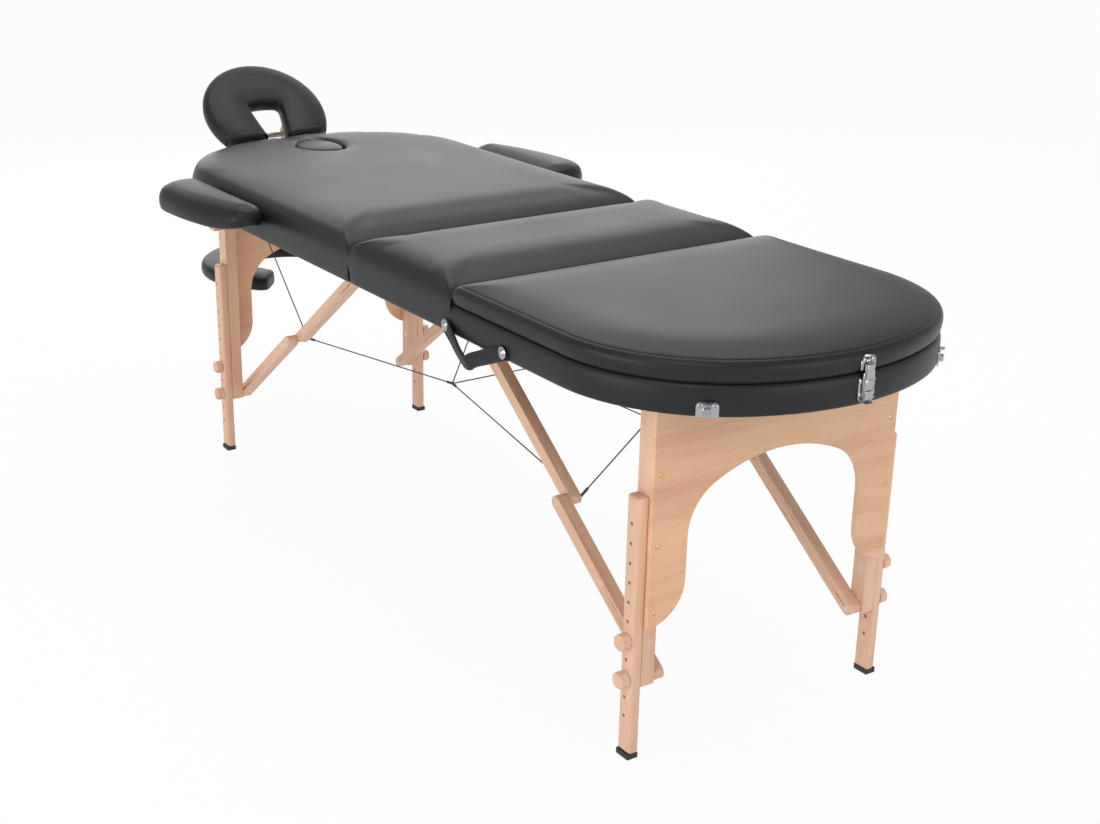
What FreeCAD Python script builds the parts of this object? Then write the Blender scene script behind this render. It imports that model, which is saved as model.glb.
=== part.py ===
import FreeCAD, Part
import math
import os
import re
from types import SimpleNamespace
from FreeCAD import Placement, Rotation, Vector

# Folding massage table, millimetres. +X runs to the foot end, -Y is the handle side, +Z is up.
# Everything is laid out from the fold line and the floor, then shifted so that the origin is
# on the floor under the middle of the whole table.

SIZES = {
    # Table top
    "half_length": (988, "fold line to the tip of a half"),
    "half_width": (345, "middle of the table to its side"),
    "corner_radius": (285, "plan corner of the rounded end"),
    "end_radius": (425, "plan radius of the end itself"),
    "fold_gap": (0.3, "each half stops this far from the fold line"),
    "rim_bottom": (620, "floor to the underside of the rim"),
    "rim_height": (51, "height of the rim"),
    "rim_wall": (16, "thickness of the rim"),
    "deck_thickness": (7, "plywood under the cushions"),
    "deck_fit": (0.1, "gap between deck and rim"),
    "cushion_height": (42, "rim top to the edge of the cushion top"),
    "crown_height": (7, "how far the middle of a cushion rises"),
    "side_bulge": (4, "how far a cushion side stands out at its middle"),
    "edge_roll": (26, "width of the rolled top edge"),
    "crown_run": (70, "width of the crown outside the flat middle"),
    "seam_corner": (22, "plan radius of the cushion corners at a seam"),
    # Lifting foot section
    "seam_x": (372, "fold line to the seam of the foot section"),
    "seam_gap": (6, "gap between the cushions at that seam"),
    "seam_bead_radius": (2, "bead of the fabric hinge"),
    "seam_bead_drop": (7, "bead centre below the cushion edge"),
    "seam_web": (2, "thickness of the fabric hinge"),
    "lid_gap": (1, "rim top to the board of the foot section"),
    "lid_board": (7, "thickness of that board"),
    "lid_inset": (4, "board edge inside the outline"),
    "stay_end_gap": (8.4, "end of a stay to the leg pivot block"),
    "stay_drop": (16, "stay pivot below the top of the rim"),
    "stay_length": (200.6, "pivot to the middle of the round end of a stay"),
    "stay_depth": (14, "height of a stay bar"),
    "stay_thickness": (6, "thickness of a stay bar"),
    "stay_seat": (19, "inside of the rim to a stay bar"),
    "stay_pin_radius": (3, "pin of a stay"),
    # Face hole
    "face_inset": (193, "tip of the table to the middle of the face hole"),
    "face_half_length": (73, "half length of the face hole"),
    "face_half_width": (54, "half width of the face hole"),
    "face_end_radius": (42, "radius of its ends"),
    "face_ledge": (9, "ledge that the plug rests on"),
    "plug_play": (1.2, "gap round the plug"),
    "rest_gap": (0.4, "gap under pieces that rest on another body"),
    # Centre hinges
    "hinge_y": (190, "middle of the table to a centre hinge"),
    "hinge_length": (72, "length of a centre hinge"),
    "hinge_leaf": (34, "width of a hinge leaf"),
    "hinge_sheet": (1.6, "thickness of a hinge leaf"),
    "hinge_drop": (2, "hinge axis below the rim"),
    "knuckle_radius": (3.4, "outside of a hinge knuckle"),
    "hinge_pin_radius": (1.7, "hinge pin"),
    "pin_play": (0.05, "radial gap of pins in their holes"),
    "knuckle_gap": (0.5, "gap between knuckles"),
    "notch_gap": (3, "room round the knuckles in the rim"),
    # Leg frames
    "leg_inset": (190, "tip of the table to the middle of a leg"),
    "leg_pivot_rise": (25, "leg pivot above the underside of the rim"),
    "post_depth": (30, "inner post along the table"),
    "post_width": (26, "inner post across the table"),
    "post_inset": (88, "side of the table to the outside of a post"),
    "post_end": (15, "lower stud to the end of a post"),
    "rail_height": (30, "cross rail between the posts"),
    "rail_depth": (22, "thickness of the cross rail"),
    "rail_drop": (15, "top of the rail below the leg pivot"),
    "leg_pin_radius": (5, "pivot pin of a leg"),
    "block_length": (44, "leg pivot block along the table"),
    "block_height": (34, "leg pivot block height"),
    "block_gap": (0.6, "gap between a post and its block"),
    "panel_thickness": (9, "plywood panel"),
    "panel_rise": (20, "panel top above the underside of the rim"),
    "arch_top": (495, "floor to the top of the arch"),
    "arch_half_width": (184, "half width of the arch between its straight sides"),
    "arch_top_radius": (300, "radius of the arch at its top"),
    "arch_shoulder": (90, "radius of the arch shoulders"),
    "lobe_bottom": (237, "floor to the bottom of the panel"),
    # Extension legs
    "leg_gap": (0.5, "gap between post and extension leg"),
    "leg_depth": (30, "extension leg along the table"),
    "leg_width": (20, "extension leg across the table"),
    "leg_round": (8, "rounded outer edges of the extension leg"),
    "leg_top": (462, "floor to the top of the extension leg"),
    "hole_top": (417, "floor to the top adjustment hole"),
    "hole_pitch": (34, "spacing of the adjustment holes"),
    "hole_count": (11, "number of adjustment holes"),
    "hole_play": (0.3, "radial gap round a clamping stud"),
    "upper_stud_hole": (6, "holes above the upper stud"),
    "stud_step": (2, "holes between the two studs"),
    "stud_radius": (3, "clamping stud"),
    "stud_in_post": (18, "length of stud inside the post"),
    "knob_size": (26, "across the flats of a knob"),
    "knob_cut": (7, "corner cut of a knob"),
    "knob_thickness": (15, "thickness of a knob"),
    "foot_height": (10, "rubber foot"),
    "foot_rim": (0.8, "rubber foot stands out of the leg"),
    # Braces
    "brace_pivot_x": (121, "fold line to the upper brace pivots"),
    "brace_pivot_rise": (9, "lower brace pivot above the end of a post"),
    "brace_depth": (24, "height of a brace bar"),
    "brace_width": (23.2, "thickness of a brace bar"),
    "brace_gap": (0.5, "gap beside a brace"),
    "brace_pin_radius": (4, "pivot pins of the braces"),
    "knee_bolt_radius": (3, "bolt hole of a knee"),
    "knee_bevel": (22, "bevel of an upper brace at its knee in degrees"),
    "knee_wood": (4.8, "knee centre to the bevel"),
    "bracket_width": (20, "bracket of an upper brace"),
    "bracket_length": (30, "bracket of an upper brace along the table"),
    # Cables
    "cable_radius": (1.3, "coated steel cable"),
    "cable_standoff": (6, "cable beside the knee"),
    "cable_rail_drop": (26, "cable end on the rail below the leg pivot"),
    "cable_rail_y": (190, "cable end on the rail from the middle"),
    "junction_x": (-30, "cable junction along the table"),
    "junction_y": (97, "cable junction from the middle"),
    "junction_z": (366, "cable junction above the floor"),
    # Handle, latch and keepers
    "handle_first_x": (361, "fold line to the first handle rivet"),
    "handle_last_x": (538, "fold line to the second handle rivet"),
    "handle_z": (634, "floor to the rivets"),
    "handle_sag": (50, "rivets to the lowest part of the strap"),
    "handle_low_x": (408, "start of the lowest part of the strap"),
    "handle_low_run": (44, "length of the lowest part of the strap"),
    "handle_width": (20, "strap width"),
    "handle_thickness": (5, "strap thickness"),
    "handle_bend": (24, "bend radius of the strap"),
    "handle_gap": (1.5, "strap off the side of the rim"),
    "rivet_radius": (9, "head of a handle rivet"),
    "latch_width": (42, "toggle latch plates"),
    "latch_sheet": (2.5, "thickness of the latch plates"),
    "latch_base_low": (4, "latch base above the underside of the rim"),
    "latch_base_height": (42, "height of the latch base"),
    "catch_height": (24, "height of the catch on the foot section"),
    "lever_width": (28, "toggle lever"),
    "lever_length": (34, "toggle lever"),
    "lever_thickness": (5, "toggle lever"),
    "lever_gap": (0.6, "gap behind the lever"),
    "keeper_y": (238, "middle of the table to a keeper plate"),
    "keeper_width": (34, "keeper plate"),
    "keeper_height": (26, "keeper plate"),
    "keeper_low": (1, "keeper plate above the underside of the rim"),
    "keeper_sheet": (2, "thickness of a keeper plate"),
    "keeper_stud": (8, "radius of the stud on a keeper"),
    "keeper_stud_length": (8, "length of that stud"),
    # Face rest
    "rest_reach": (88, "tip of the table to the middle of the face rest"),
    "rest_z": (770, "floor to the middle of its top"),
    "rest_tilt": (38, "tilt of the face rest in degrees"),
    "rest_radius": (157, "outside of the horseshoe cushion"),
    "rest_thickness": (46, "thickness of that cushion"),
    "rest_crown": (8, "crown of that cushion"),
    "rest_arm_end": (92, "arms end this far below the middle"),
    "rest_open_top": (22, "opening above the middle"),
    "rest_open_wide": (47, "half width of the opening at its top"),
    "rest_open_narrow": (26, "half width of the opening at its mouth"),
    "rest_board": (9, "plywood under the cushion"),
    "rest_board_inset": (14, "board edge inside the cushion"),
    "rod_y": (62, "middle of the table to a face-rest rod"),
    "rod_radius": (6, "face-rest rod"),
    "rod_play": (0.35, "radial gap of rods in the rim"),
    "rod_inside": (142, "length of the rods inside the tip of the table"),
    "tilt_reach": (124, "tip of the table to the tilt axis of the face rest"),
    "tilt_z": (690, "floor to the tilt axis"),
    "tilt_bar_radius": (7, "tilt bar"),
    "lug_gap": (0.5, "gap beside the tilt lugs"),
    "lug_width": (16, "tilt lugs under the board"),
    # Armrests
    "arm_inset": (476, "tip of the table to the middle of an armrest"),
    "arm_length": (350, "length of an armrest"),
    "arm_reach": (118, "depth of an armrest at its wide end"),
    "arm_round": (72, "plan corner of the wide end"),
    "arm_tip": (38, "plan radius of the narrow end"),
    "arm_gap": (7, "armrest off the side of the table"),
    "arm_low": (30, "armrest cushion above the underside of the rim"),
    "arm_thickness": (52, "thickness of an armrest cushion"),
    "arm_crown": (5, "crown of an armrest cushion"),
    "slat_spacing": (140, "distance between the two slats"),
    "slat_width": (28, "width of a slat"),
    "slat_thickness": (9, "thickness of a slat"),
    "slat_play": (0.5, "gap round a slat in the rim"),
    "slat_inside": (62, "length of slat inside the table"),
    # Arm shelf
    "shelf_reach": (18, "tip of the table to the middle of the arm shelf"),
    "shelf_z": (366, "floor to the underside of its pad"),
    "shelf_radius": (212, "outside radius of the pad"),
    "shelf_inner_radius": (112, "inside radius of the pad"),
    "shelf_opening": (38, "half angle of the open side in degrees"),
    "shelf_thickness": (38, "thickness of the pad"),
    "strap_width": (25, "hanging strap"),
    "strap_thickness": (2, "hanging strap"),
    "strap_pad_y": (150, "strap on the pad from the middle"),
    "strap_gap": (0.6, "gap between strap loops and rods"),
}

# Places that keep their distance from another size
PLACES = {
    "leg_x": "half_length - leg_inset",
    "post_outer_y": "half_width - post_inset",
    "post_bottom": "hole_top - hole_pitch * (upper_stud_hole + stud_step) - post_end",
    "brace_low_z": "post_bottom + brace_pivot_rise",
    "stay_y": "half_width - rim_wall - stay_seat - stay_thickness",
    "stay_pivot_x": "leg_x - block_length / 2 - stay_end_gap - stay_depth / 2 - stay_length",
    "face_x": "half_length - face_inset",
    "rest_x": "half_length + rest_reach",
    "rod_inner_x": "half_length - rod_inside",
    "tilt_x": "half_length + tilt_reach",
    "shelf_x": "half_length + shelf_reach",
    "arm_x": "half_length - arm_inset",
}

ENDS = {"head": -1, "foot": 1}
SIDES = {"front": -1, "rear": 1}

doc = FreeCAD.newDocument("massage_table")
sheet = doc.addObject("Spreadsheet::Sheet", "Dim")
rows = [(alias, str(value), note) for alias, (value, note) in SIZES.items()]
rows += [(alias, f"={rule}", "follows from the sizes above") for alias, rule in PLACES.items()]
for row, (alias, content, note) in enumerate(rows, 1):
    sheet.set(f"A{row}", note)
    sheet.set(f"B{row}", content)
    sheet.setAlias(f"B{row}", alias)
doc.recompute()
s = SimpleNamespace(**{alias: float(sheet.get(alias)) for alias, content, note in rows})

# Levels and places that follow from the sizes
rim_top = s.rim_bottom + s.rim_height
deck_bottom = rim_top - s.deck_thickness
cushion_top = rim_top + s.cushion_height
leg_pivot_z = s.rim_bottom + s.leg_pivot_rise
leg_outer_y = s.post_outer_y + s.leg_gap + s.leg_width
hinge_z = s.rim_bottom - s.hinge_drop
stud_heights = [s.hole_top - s.hole_pitch * (s.upper_stud_hole + step) for step in (0, s.stud_step)]
brace_run = s.leg_x - s.brace_pivot_x
brace_drop = leg_pivot_z - s.brace_low_z
brace_total = math.hypot(brace_run, brace_drop)
upper_brace = (brace_total + brace_run - brace_drop) / 2
lower_brace = brace_total - upper_brace
knee_x = s.leg_x - lower_brace * brace_run / brace_total
knee_z = s.brace_low_z + lower_brace * brace_drop / brace_total
lower_brace_y = s.post_outer_y - s.post_width - s.brace_gap - s.brace_width
upper_brace_y = lower_brace_y - s.brace_gap - s.brace_width
arm_low_z = s.rim_bottom + s.arm_low
end_centre = s.half_length - s.end_radius
corner_rise = s.half_width - s.corner_radius
corner_centre = end_centre + math.sqrt((s.end_radius - s.corner_radius) ** 2 - corner_rise ** 2)

nodes = {}


# Building blocks

def formula(text):
    """Turn size names in a formula into references to the sheet."""
    def reference(match):
        name = match.group()
        return f"Dim.{name}" if hasattr(s, name) else name

    return re.sub(r"[a-z_]+", reference, text)


def mirrored(sign, low, high):
    """A span of formulas on the positive or the negative side."""
    return (low, high) if sign > 0 else (f"-({high})", f"-({low})")


def block(name, x, y, z):
    """A box whose three spans are pairs of formulas."""
    box = doc.addObject("Part::Box", name)
    for axis, side, (low, high) in zip("xyz", ("Length", "Width", "Height"), (x, y, z)):
        box.setExpression(side, formula(f"({high}) - ({low})"))
        box.setExpression(f"Placement.Base.{axis}", formula(low))
    return box


def round_bar(name, axis, radius, span, across):
    """A cylinder along X, Y or Z; across gives the formulas of the other two coordinates."""
    bar = doc.addObject("Part::Cylinder", name)
    turns = {"x": Rotation(Vector(0, 1, 0), 90), "y": Rotation(Vector(1, 0, 0), -90), "z": Rotation()}
    bar.Placement = Placement(Vector(), turns[axis])
    bar.setExpression("Radius", formula(radius))
    bar.setExpression("Height", formula(f"({span[1]}) - ({span[0]})"))
    bar.setExpression(f"Placement.Base.{axis}", formula(span[0]))
    for other, place in zip([a for a in "xyz" if a != axis], across):
        bar.setExpression(f"Placement.Base.{other}", formula(place))
    return bar


def solid(name, shape):
    feature = doc.addObject("Part::Feature", name)
    feature.Shape = shape
    return feature


def joined(name, parts):
    union = doc.addObject("Part::MultiFuse", name)
    union.Shapes = parts
    return union


def together(name, parts):
    bundle = doc.addObject("Part::Compound", name)
    bundle.Links = parts
    return bundle


def cut(name, base, tools):
    result = doc.addObject("Part::Cut", name)
    result.Base = base
    result.Tool = tools[0] if len(tools) == 1 else together(f"{name}_tools", tools)
    return result


def node(label, piece):
    piece.Label = label
    nodes[label] = piece


def outline(points):
    """A closed wire through plain points, and arcs given as (middle, end)."""
    edges = []
    here = points[0]
    for step in points[1:] + [points[0]]:
        if isinstance(step, tuple):
            edges.append(Part.Arc(here, step[0], step[1]).toShape())
            here = step[1]
        elif (step - here).Length > 1e-6:
            edges.append(Part.LineSegment(here, step).toShape())
            here = step
    return Part.Wire(edges)


def plate(wire, direction):
    return Part.Face(wire).extrude(direction)


def stacked(section, levels):
    """A closed body lofted through section(inset, height) at each level."""
    return Part.makeLoft([section(inset, height) for inset, height in levels], True, True)


def pad_levels(low, thickness, crown, roll, run):
    """Drawn-in bottom, bulging side, rolled edge and crown of a cushion, as insets and heights."""
    bulge = s.side_bulge
    top = low + thickness
    return [(bulge, low), (0, low + 0.4 * thickness), (0.75 * bulge, low + 0.74 * thickness),
            (0.5 * roll, top - 0.07 * thickness), (roll, top),
            (roll + 0.4 * run, top + 0.7 * crown), (roll + run, top + crown)]


def end_wire(end, start, corner, inset, z):
    """Outline of a half with its rounded end; start is its straight edge near the fold."""
    meet = math.atan2(corner_rise, corner_centre - end_centre)
    small = s.corner_radius - inset
    large = s.end_radius - inset
    width = s.half_width - inset
    middle = (math.pi / 2 + meet) / 2
    first = start + inset

    def at(x, y):
        return Vector(end * x, y, z)

    def on_corner(angle, sign):
        return at(corner_centre + small * math.cos(angle), sign * (corner_rise + small * math.sin(angle)))

    def near_corner(x_share, y_share, sign):
        return at(first + corner * x_share, sign * (width - corner * y_share))

    bow = 1 - math.sqrt(0.5)
    return outline([
        near_corner(1, 0, -1), at(corner_centre, -width),
        (on_corner(middle, -1), on_corner(meet, -1)),
        (at(end_centre + large, 0), on_corner(meet, 1)),
        (on_corner(middle, 1), at(corner_centre, width)), near_corner(1, 0, 1),
        (near_corner(bow, bow, 1), near_corner(0, 1, 1)), near_corner(0, 1, -1),
        (near_corner(bow, bow, -1), near_corner(1, 0, -1))])


def oval_wire(centre_x, half_long, half_wide, end_radius, inset, z):
    """Oval of four arcs along X."""
    long = half_long - inset
    wide = half_wide - inset
    tip = end_radius - inset
    side = (long ** 2 - 2 * long * tip + wide ** 2) / (2 * (wide - tip))
    turn = math.atan2(side - wide, long - tip)

    def on_tip(angle, right, up):
        return Vector(centre_x + right * (long - tip + tip * math.cos(angle)), up * tip * math.sin(angle), z)

    def side_arc(up, right):
        return Vector(centre_x, up * wide, z), on_tip(turn, right, up)

    def end_arc(right, up):
        return on_tip(0, right, up), on_tip(turn, right, up)

    return outline([on_tip(turn, 1, -1), end_arc(1, 1), side_arc(1, -1), end_arc(-1, -1), side_arc(-1, 1)])


def box_wire(x0, x1, half_width, corner, inset, z):
    """Rounded rectangle between two seams."""
    low, high, wide = x0 + inset, x1 - inset, half_width - inset
    bow = corner * (1 - math.sqrt(0.5))
    points = []
    corners = ((high, wide, 1, 1), (low, wide, -1, 1), (low, -wide, -1, -1), (high, -wide, 1, -1))
    for x, y, right, up in corners:
        side = Vector(x, y - up * corner, z)
        crest = Vector(x - right * corner, y, z)
        first, last = (side, crest) if right == up else (crest, side)
        points += [first, (Vector(x - right * bow, y - up * bow, z), last)]
    return outline(points)


# Rims and decks

def rim_blank(end, name):
    start = s.fold_gap
    up = Vector(0, 0, s.rim_height)
    outer = plate(end_wire(end, start, s.seam_corner, 0, s.rim_bottom), up)
    inner = plate(end_wire(end, start, s.seam_corner, s.rim_wall, s.rim_bottom), up)
    return solid(f"{name}_rim_blank", outer.cut(inner))


def rim_room(end, name, gap):
    """The space inside a rim, to fit pieces into it."""
    low = s.rim_bottom - s.rim_height / 2
    wire = end_wire(end, s.fold_gap, s.seam_corner, s.rim_wall + gap, low)
    return solid(name, plate(wire, Vector(0, 0, 2 * s.rim_height)))


def fitted(name, piece, room):
    """The part of a piece that lies inside a room."""
    common = doc.addObject("Part::MultiCommon", name)
    common.Shapes = [piece, room]
    return common


def hinge_notches(end, name):
    length = "hinge_length / 2 + notch_gap"
    return [block(f"{name}_{side}_notch", mirrored(end, "0", "knuckle_radius + notch_gap"),
                  (f"({sign}) * hinge_y - ({length})", f"({sign}) * hinge_y + {length}"),
                  ("rim_bottom - notch_gap", "rim_bottom - hinge_drop + knuckle_radius + notch_gap"))
            for side, sign in SIDES.items()]


def rod_holes():
    return [round_bar(f"{side}_rod_hole", "x", "rod_radius + rod_play",
                      ("-(half_length + rim_wall)", "-(half_length - 4 * rim_wall)"),
                      (f"({sign}) * rod_y", "rim_bottom + leg_pivot_rise"))
            for side, sign in SIDES.items()]


def slat_places():
    return {"first": "-(arm_x - slat_spacing / 2)", "second": "-(arm_x + slat_spacing / 2)"}


def slat_slots():
    half = "slat_width / 2 + slat_play"
    return [block(f"{side}_{which}_slot", (f"{x} - ({half})", f"{x} + {half}"),
                  mirrored(sign, "half_width - 2 * rim_wall", "half_width + rim_wall"),
                  ("rim_bottom + arm_low - slat_thickness - slat_play", "rim_bottom + arm_low + slat_play"))
            for side, sign in SIDES.items() for which, x in slat_places().items()]


for name, end in ENDS.items():
    openings = hinge_notches(end, name)
    if name == "head":
        openings += rod_holes() + slat_slots()
    node(f"{name}_rim", cut(f"{name}_rim_body", rim_blank(end, name), openings))


def deck_face(z):
    return end_wire(-1, s.fold_gap, s.seam_corner, s.rim_wall + s.deck_fit, z)


def face_hole(inset, z):
    return oval_wire(-s.face_x, s.face_half_length, s.face_half_width, s.face_end_radius, inset, z)


deck_up = Vector(0, 0, s.deck_thickness)
node("head_deck", solid("head_deck_body", plate(deck_face(deck_bottom), deck_up).cut(
    plate(face_hole(s.face_ledge, deck_bottom), deck_up))))
middle_board = block(
    "middle_board", ("0", "seam_x + seam_web / 2"), ("-half_width", "half_width"),
    ("rim_bottom + rim_height - deck_thickness", "rim_bottom + rim_height"))
deck_room = rim_room(1, "middle_deck_room", s.deck_fit)
node("middle_deck", together("middle_deck_body", [fitted("middle_deck_board", middle_board, deck_room)]))


# Cushions of the table top

def head_cushion():
    levels = pad_levels(rim_top, s.cushion_height, s.crown_height, s.edge_roll, s.crown_run)
    body = stacked(lambda inset, z: end_wire(-1, s.fold_gap, s.seam_corner, inset, z), levels)
    depth = Vector(0, 0, s.cushion_height + 2 * s.crown_height)
    return body.cut(plate(face_hole(0, rim_top), depth))


def face_plug():
    low = rim_top + s.rest_gap
    levels = [(s.plug_play + 2, low), (s.plug_play, low + 0.3 * s.cushion_height),
              (s.plug_play, low + 0.8 * s.cushion_height),
              (s.plug_play + 8, cushion_top + 0.6 * s.crown_height),
              (s.plug_play + 20, cushion_top + 1.2 * s.crown_height)]
    return stacked(face_hole, levels)


def middle_cushion():
    levels = pad_levels(rim_top, s.cushion_height, s.crown_height, s.edge_roll, s.crown_run)
    last = s.seam_x - s.seam_gap / 2
    return stacked(lambda inset, z: box_wire(s.fold_gap, last, s.half_width, s.seam_corner, inset, z), levels)


lid_low = rim_top + s.lid_gap
lid_start = s.seam_x + s.seam_gap / 2


def foot_cushion():
    low = lid_low + s.lid_board
    levels = pad_levels(low, cushion_top - low, s.crown_height, s.edge_roll, s.crown_run)
    return stacked(lambda inset, z: end_wire(1, lid_start, s.seam_corner, inset, z), levels)


node("head_cushion", solid("head_cushion_body", head_cushion()))
node("face_plug", solid("face_plug_body", face_plug()))
node("middle_cushion", solid("middle_cushion_body", middle_cushion()))
node("foot_cushion", solid("foot_cushion_body", foot_cushion()))

# Lifting foot section: board, fabric hinge, and stays that swing up under the board

node("lid_board", solid("lid_board_body", plate(
    end_wire(1, lid_start, s.seam_corner, s.lid_inset, lid_low), Vector(0, 0, s.lid_board))))
STAY_Z = "rim_bottom + rim_height - stay_drop"
stays = []
for side, sign in SIDES.items():
    bar_y = mirrored(sign, "stay_y", "stay_y + stay_thickness")
    bar = joined(f"{side}_stay_bar", [
        block(f"{side}_stay_flat", ("stay_pivot_x", "stay_pivot_x + stay_length"), bar_y,
              (f"{STAY_Z} - stay_depth / 2", f"{STAY_Z} + stay_depth / 2")),
        round_bar(f"{side}_stay_eye", "y", "stay_depth / 2", bar_y, ("stay_pivot_x", STAY_Z)),
        round_bar(f"{side}_stay_toe", "y", "stay_depth / 2", bar_y, ("stay_pivot_x + stay_length", STAY_Z))])
    stays.append(cut(f"{side}_stay", bar, [round_bar(
        f"{side}_stay_hole", "y", "stay_pin_radius + pin_play", bar_y, ("stay_pivot_x", STAY_Z))]))
node("lid_stays", together("lid_stay_pair", stays))

SEAM_TOP = "rim_bottom + rim_height + cushion_height - seam_bead_drop"
SEAM_SPAN = ("-(half_width - edge_roll)", "half_width - edge_roll")
node("lid_hinge_strip", joined("lid_hinge_body", [
    block("hinge_web", ("seam_x - seam_web / 2", "seam_x + seam_web / 2"), SEAM_SPAN,
          ("rim_bottom + rim_height", SEAM_TOP)),
    round_bar("hinge_bead", "y", "seam_bead_radius", SEAM_SPAN, ("seam_x", SEAM_TOP))]))

# Centre hinges: outer knuckles on the head leaf, the middle one on the foot leaf

HINGE_Z = "rim_bottom - hinge_drop"


def hinge_leaf(name, end, side, sign):
    place = f"({sign}) * hinge_y"
    third = "hinge_length / 6"
    tag = f"{name}_{side}"
    sheet_z = ("rim_bottom - hinge_sheet", "rim_bottom")
    bore = round_bar(f"{tag}_bore", "y", "hinge_pin_radius + pin_play",
                     (f"{place} - hinge_length", f"{place} + hinge_length"), ("0", HINGE_Z))
    pieces = [block(f"{tag}_leaf", mirrored(end, "hinge_leaf / 2", "hinge_leaf"),
                    (f"{place} - hinge_length / 2", f"{place} + hinge_length / 2"), sheet_z)]
    spans = [(f"{place} - {third} + knuckle_gap", f"{place} + {third} - knuckle_gap")]
    if name == "head":
        spans = [(f"{place} - hinge_length / 2", f"{place} - {third}"),
                 (f"{place} + {third}", f"{place} + hinge_length / 2")]
    for number, span in enumerate(spans):
        tab = block(f"{tag}_tab{number}", mirrored(end, "0", "hinge_leaf / 2"), span, sheet_z)
        knuckle = round_bar(f"{tag}_knuckle{number}", "y", "knuckle_radius", span, ("0", HINGE_Z))
        pieces.append(cut(f"{tag}_arm{number}", joined(f"{tag}_arm_blank{number}", [tab, knuckle]), [bore]))
    return pieces


for name, end in ENDS.items():
    node(f"{name}_hinge_leaves", together(f"{name}_leaf_pair", [
        piece for side, sign in SIDES.items() for piece in hinge_leaf(name, end, side, sign)]))
node("hinge_pins", together("hinge_pin_pair", [
    round_bar(f"{side}_hinge_pin", "y", "hinge_pin_radius",
              (f"({sign}) * hinge_y - hinge_length / 2", f"({sign}) * hinge_y + hinge_length / 2"),
              ("0", HINGE_Z))
    for side, sign in SIDES.items()]))

# Leg frames: posts, cross rail and arched panel

PIVOT_Z = "rim_bottom + leg_pivot_rise"
POST_Y = ("post_outer_y - post_width", "post_outer_y")


def stud_z(step):
    return f"hole_top - hole_pitch * (upper_stud_hole + {step})"


def leg_post(name, end, side, sign):
    tag = f"{name}_{side}"
    across = mirrored(sign, *POST_Y)
    middle = f"({end}) * leg_x"
    body = joined(f"{tag}_post_blank", [
        block(f"{tag}_post_bar", (f"{middle} - post_depth / 2", f"{middle} + post_depth / 2"), across,
              ("post_bottom", PIVOT_Z)),
        round_bar(f"{tag}_post_top", "y", "post_depth / 2", across, (middle, PIVOT_Z)),
        round_bar(f"{tag}_brace_pin", "y", "brace_pin_radius",
                  mirrored(sign, "post_outer_y - post_width - brace_gap - brace_width", POST_Y[1]),
                  (middle, "brace_low_z"))])
    holes = [round_bar(f"{tag}_pivot_hole", "y", "leg_pin_radius + pin_play", across, (middle, PIVOT_Z))]
    for number, step in enumerate(("0", "stud_step")):
        holes.append(round_bar(f"{tag}_stud_hole{number}", "y", "stud_radius + pin_play",
                               mirrored(sign, "post_outer_y - stud_in_post", "post_outer_y + leg_gap"),
                               (middle, stud_z(step))))
    return cut(f"{tag}_post", body, holes)


def arched_panel(end):
    face = end * (s.leg_x + s.post_depth / 2)
    top = s.rim_bottom + s.panel_rise
    half, open_half = s.post_outer_y, s.arch_half_width
    lobe = half - open_half
    shoulder_y = open_half - s.arch_shoulder
    crown_z = s.arch_top - s.arch_top_radius
    shoulder_z = crown_z + math.sqrt((s.arch_top_radius - s.arch_shoulder) ** 2 - shoulder_y ** 2)
    lean = math.atan2(shoulder_z - crown_z, shoulder_y)

    def at(y, z):
        return Vector(face, y, z)

    def on_shoulder(angle, sign):
        return at(sign * (shoulder_y + s.arch_shoulder * math.cos(angle)),
                  shoulder_z + s.arch_shoulder * math.sin(angle))

    def on_lobe(sign):
        return at(sign * (half - lobe * math.sqrt(0.5)), s.lobe_bottom + lobe * (1 - math.sqrt(0.5)))

    wire = outline([
        at(-half, top), at(-half, s.lobe_bottom), (on_lobe(-1), at(-open_half, s.lobe_bottom + lobe)),
        at(-open_half, shoulder_z), (on_shoulder(lean / 2, -1), on_shoulder(lean, -1)),
        (at(0, s.arch_top), on_shoulder(lean, 1)), (on_shoulder(lean / 2, 1), at(open_half, shoulder_z)),
        at(open_half, s.lobe_bottom + lobe), (on_lobe(1), at(half, s.lobe_bottom)), at(half, top)])
    return plate(wire, Vector(end * s.panel_thickness, 0, 0))


for name, end in ENDS.items():
    middle = f"({end}) * leg_x"
    node(f"{name}_posts", together(f"{name}_post_pair", [
        leg_post(name, end, side, sign) for side, sign in SIDES.items()]))
    node(f"{name}_panel", solid(f"{name}_panel_body", arched_panel(end)))
    node(f"{name}_leg_rail", together(f"{name}_rail_body", [block(
        f"{name}_rail", (f"{middle} - rail_depth / 2", f"{middle} + rail_depth / 2"),
        ("-(post_outer_y - post_width)", "post_outer_y - post_width"),
        (f"{PIVOT_Z} - rail_drop - rail_height", f"{PIVOT_Z} - rail_drop"))]))

# Pivot blocks in the rims: leg pins on the sides, brace pins on brackets under the deck

UPPER_Y = "post_outer_y - post_width - 2 * brace_gap - 2 * brace_width"


def leg_block(tag, end, sign, room):
    middle = f"({end}) * leg_x"
    cheek = block(f"{tag}_cheek", (f"{middle} - block_length / 2", f"{middle} + block_length / 2"),
                  mirrored(sign, "post_outer_y + block_gap", "half_width"),
                  (f"{PIVOT_Z} - block_height / 2", f"{PIVOT_Z} + block_height / 2"))
    pin = round_bar(f"{tag}_leg_pin", "y", "leg_pin_radius", mirrored(sign, POST_Y[0], "half_width"),
                    (middle, PIVOT_Z))
    return fitted(f"{tag}_leg_block", joined(f"{tag}_leg_block_blank", [cheek, pin]), room)


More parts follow.
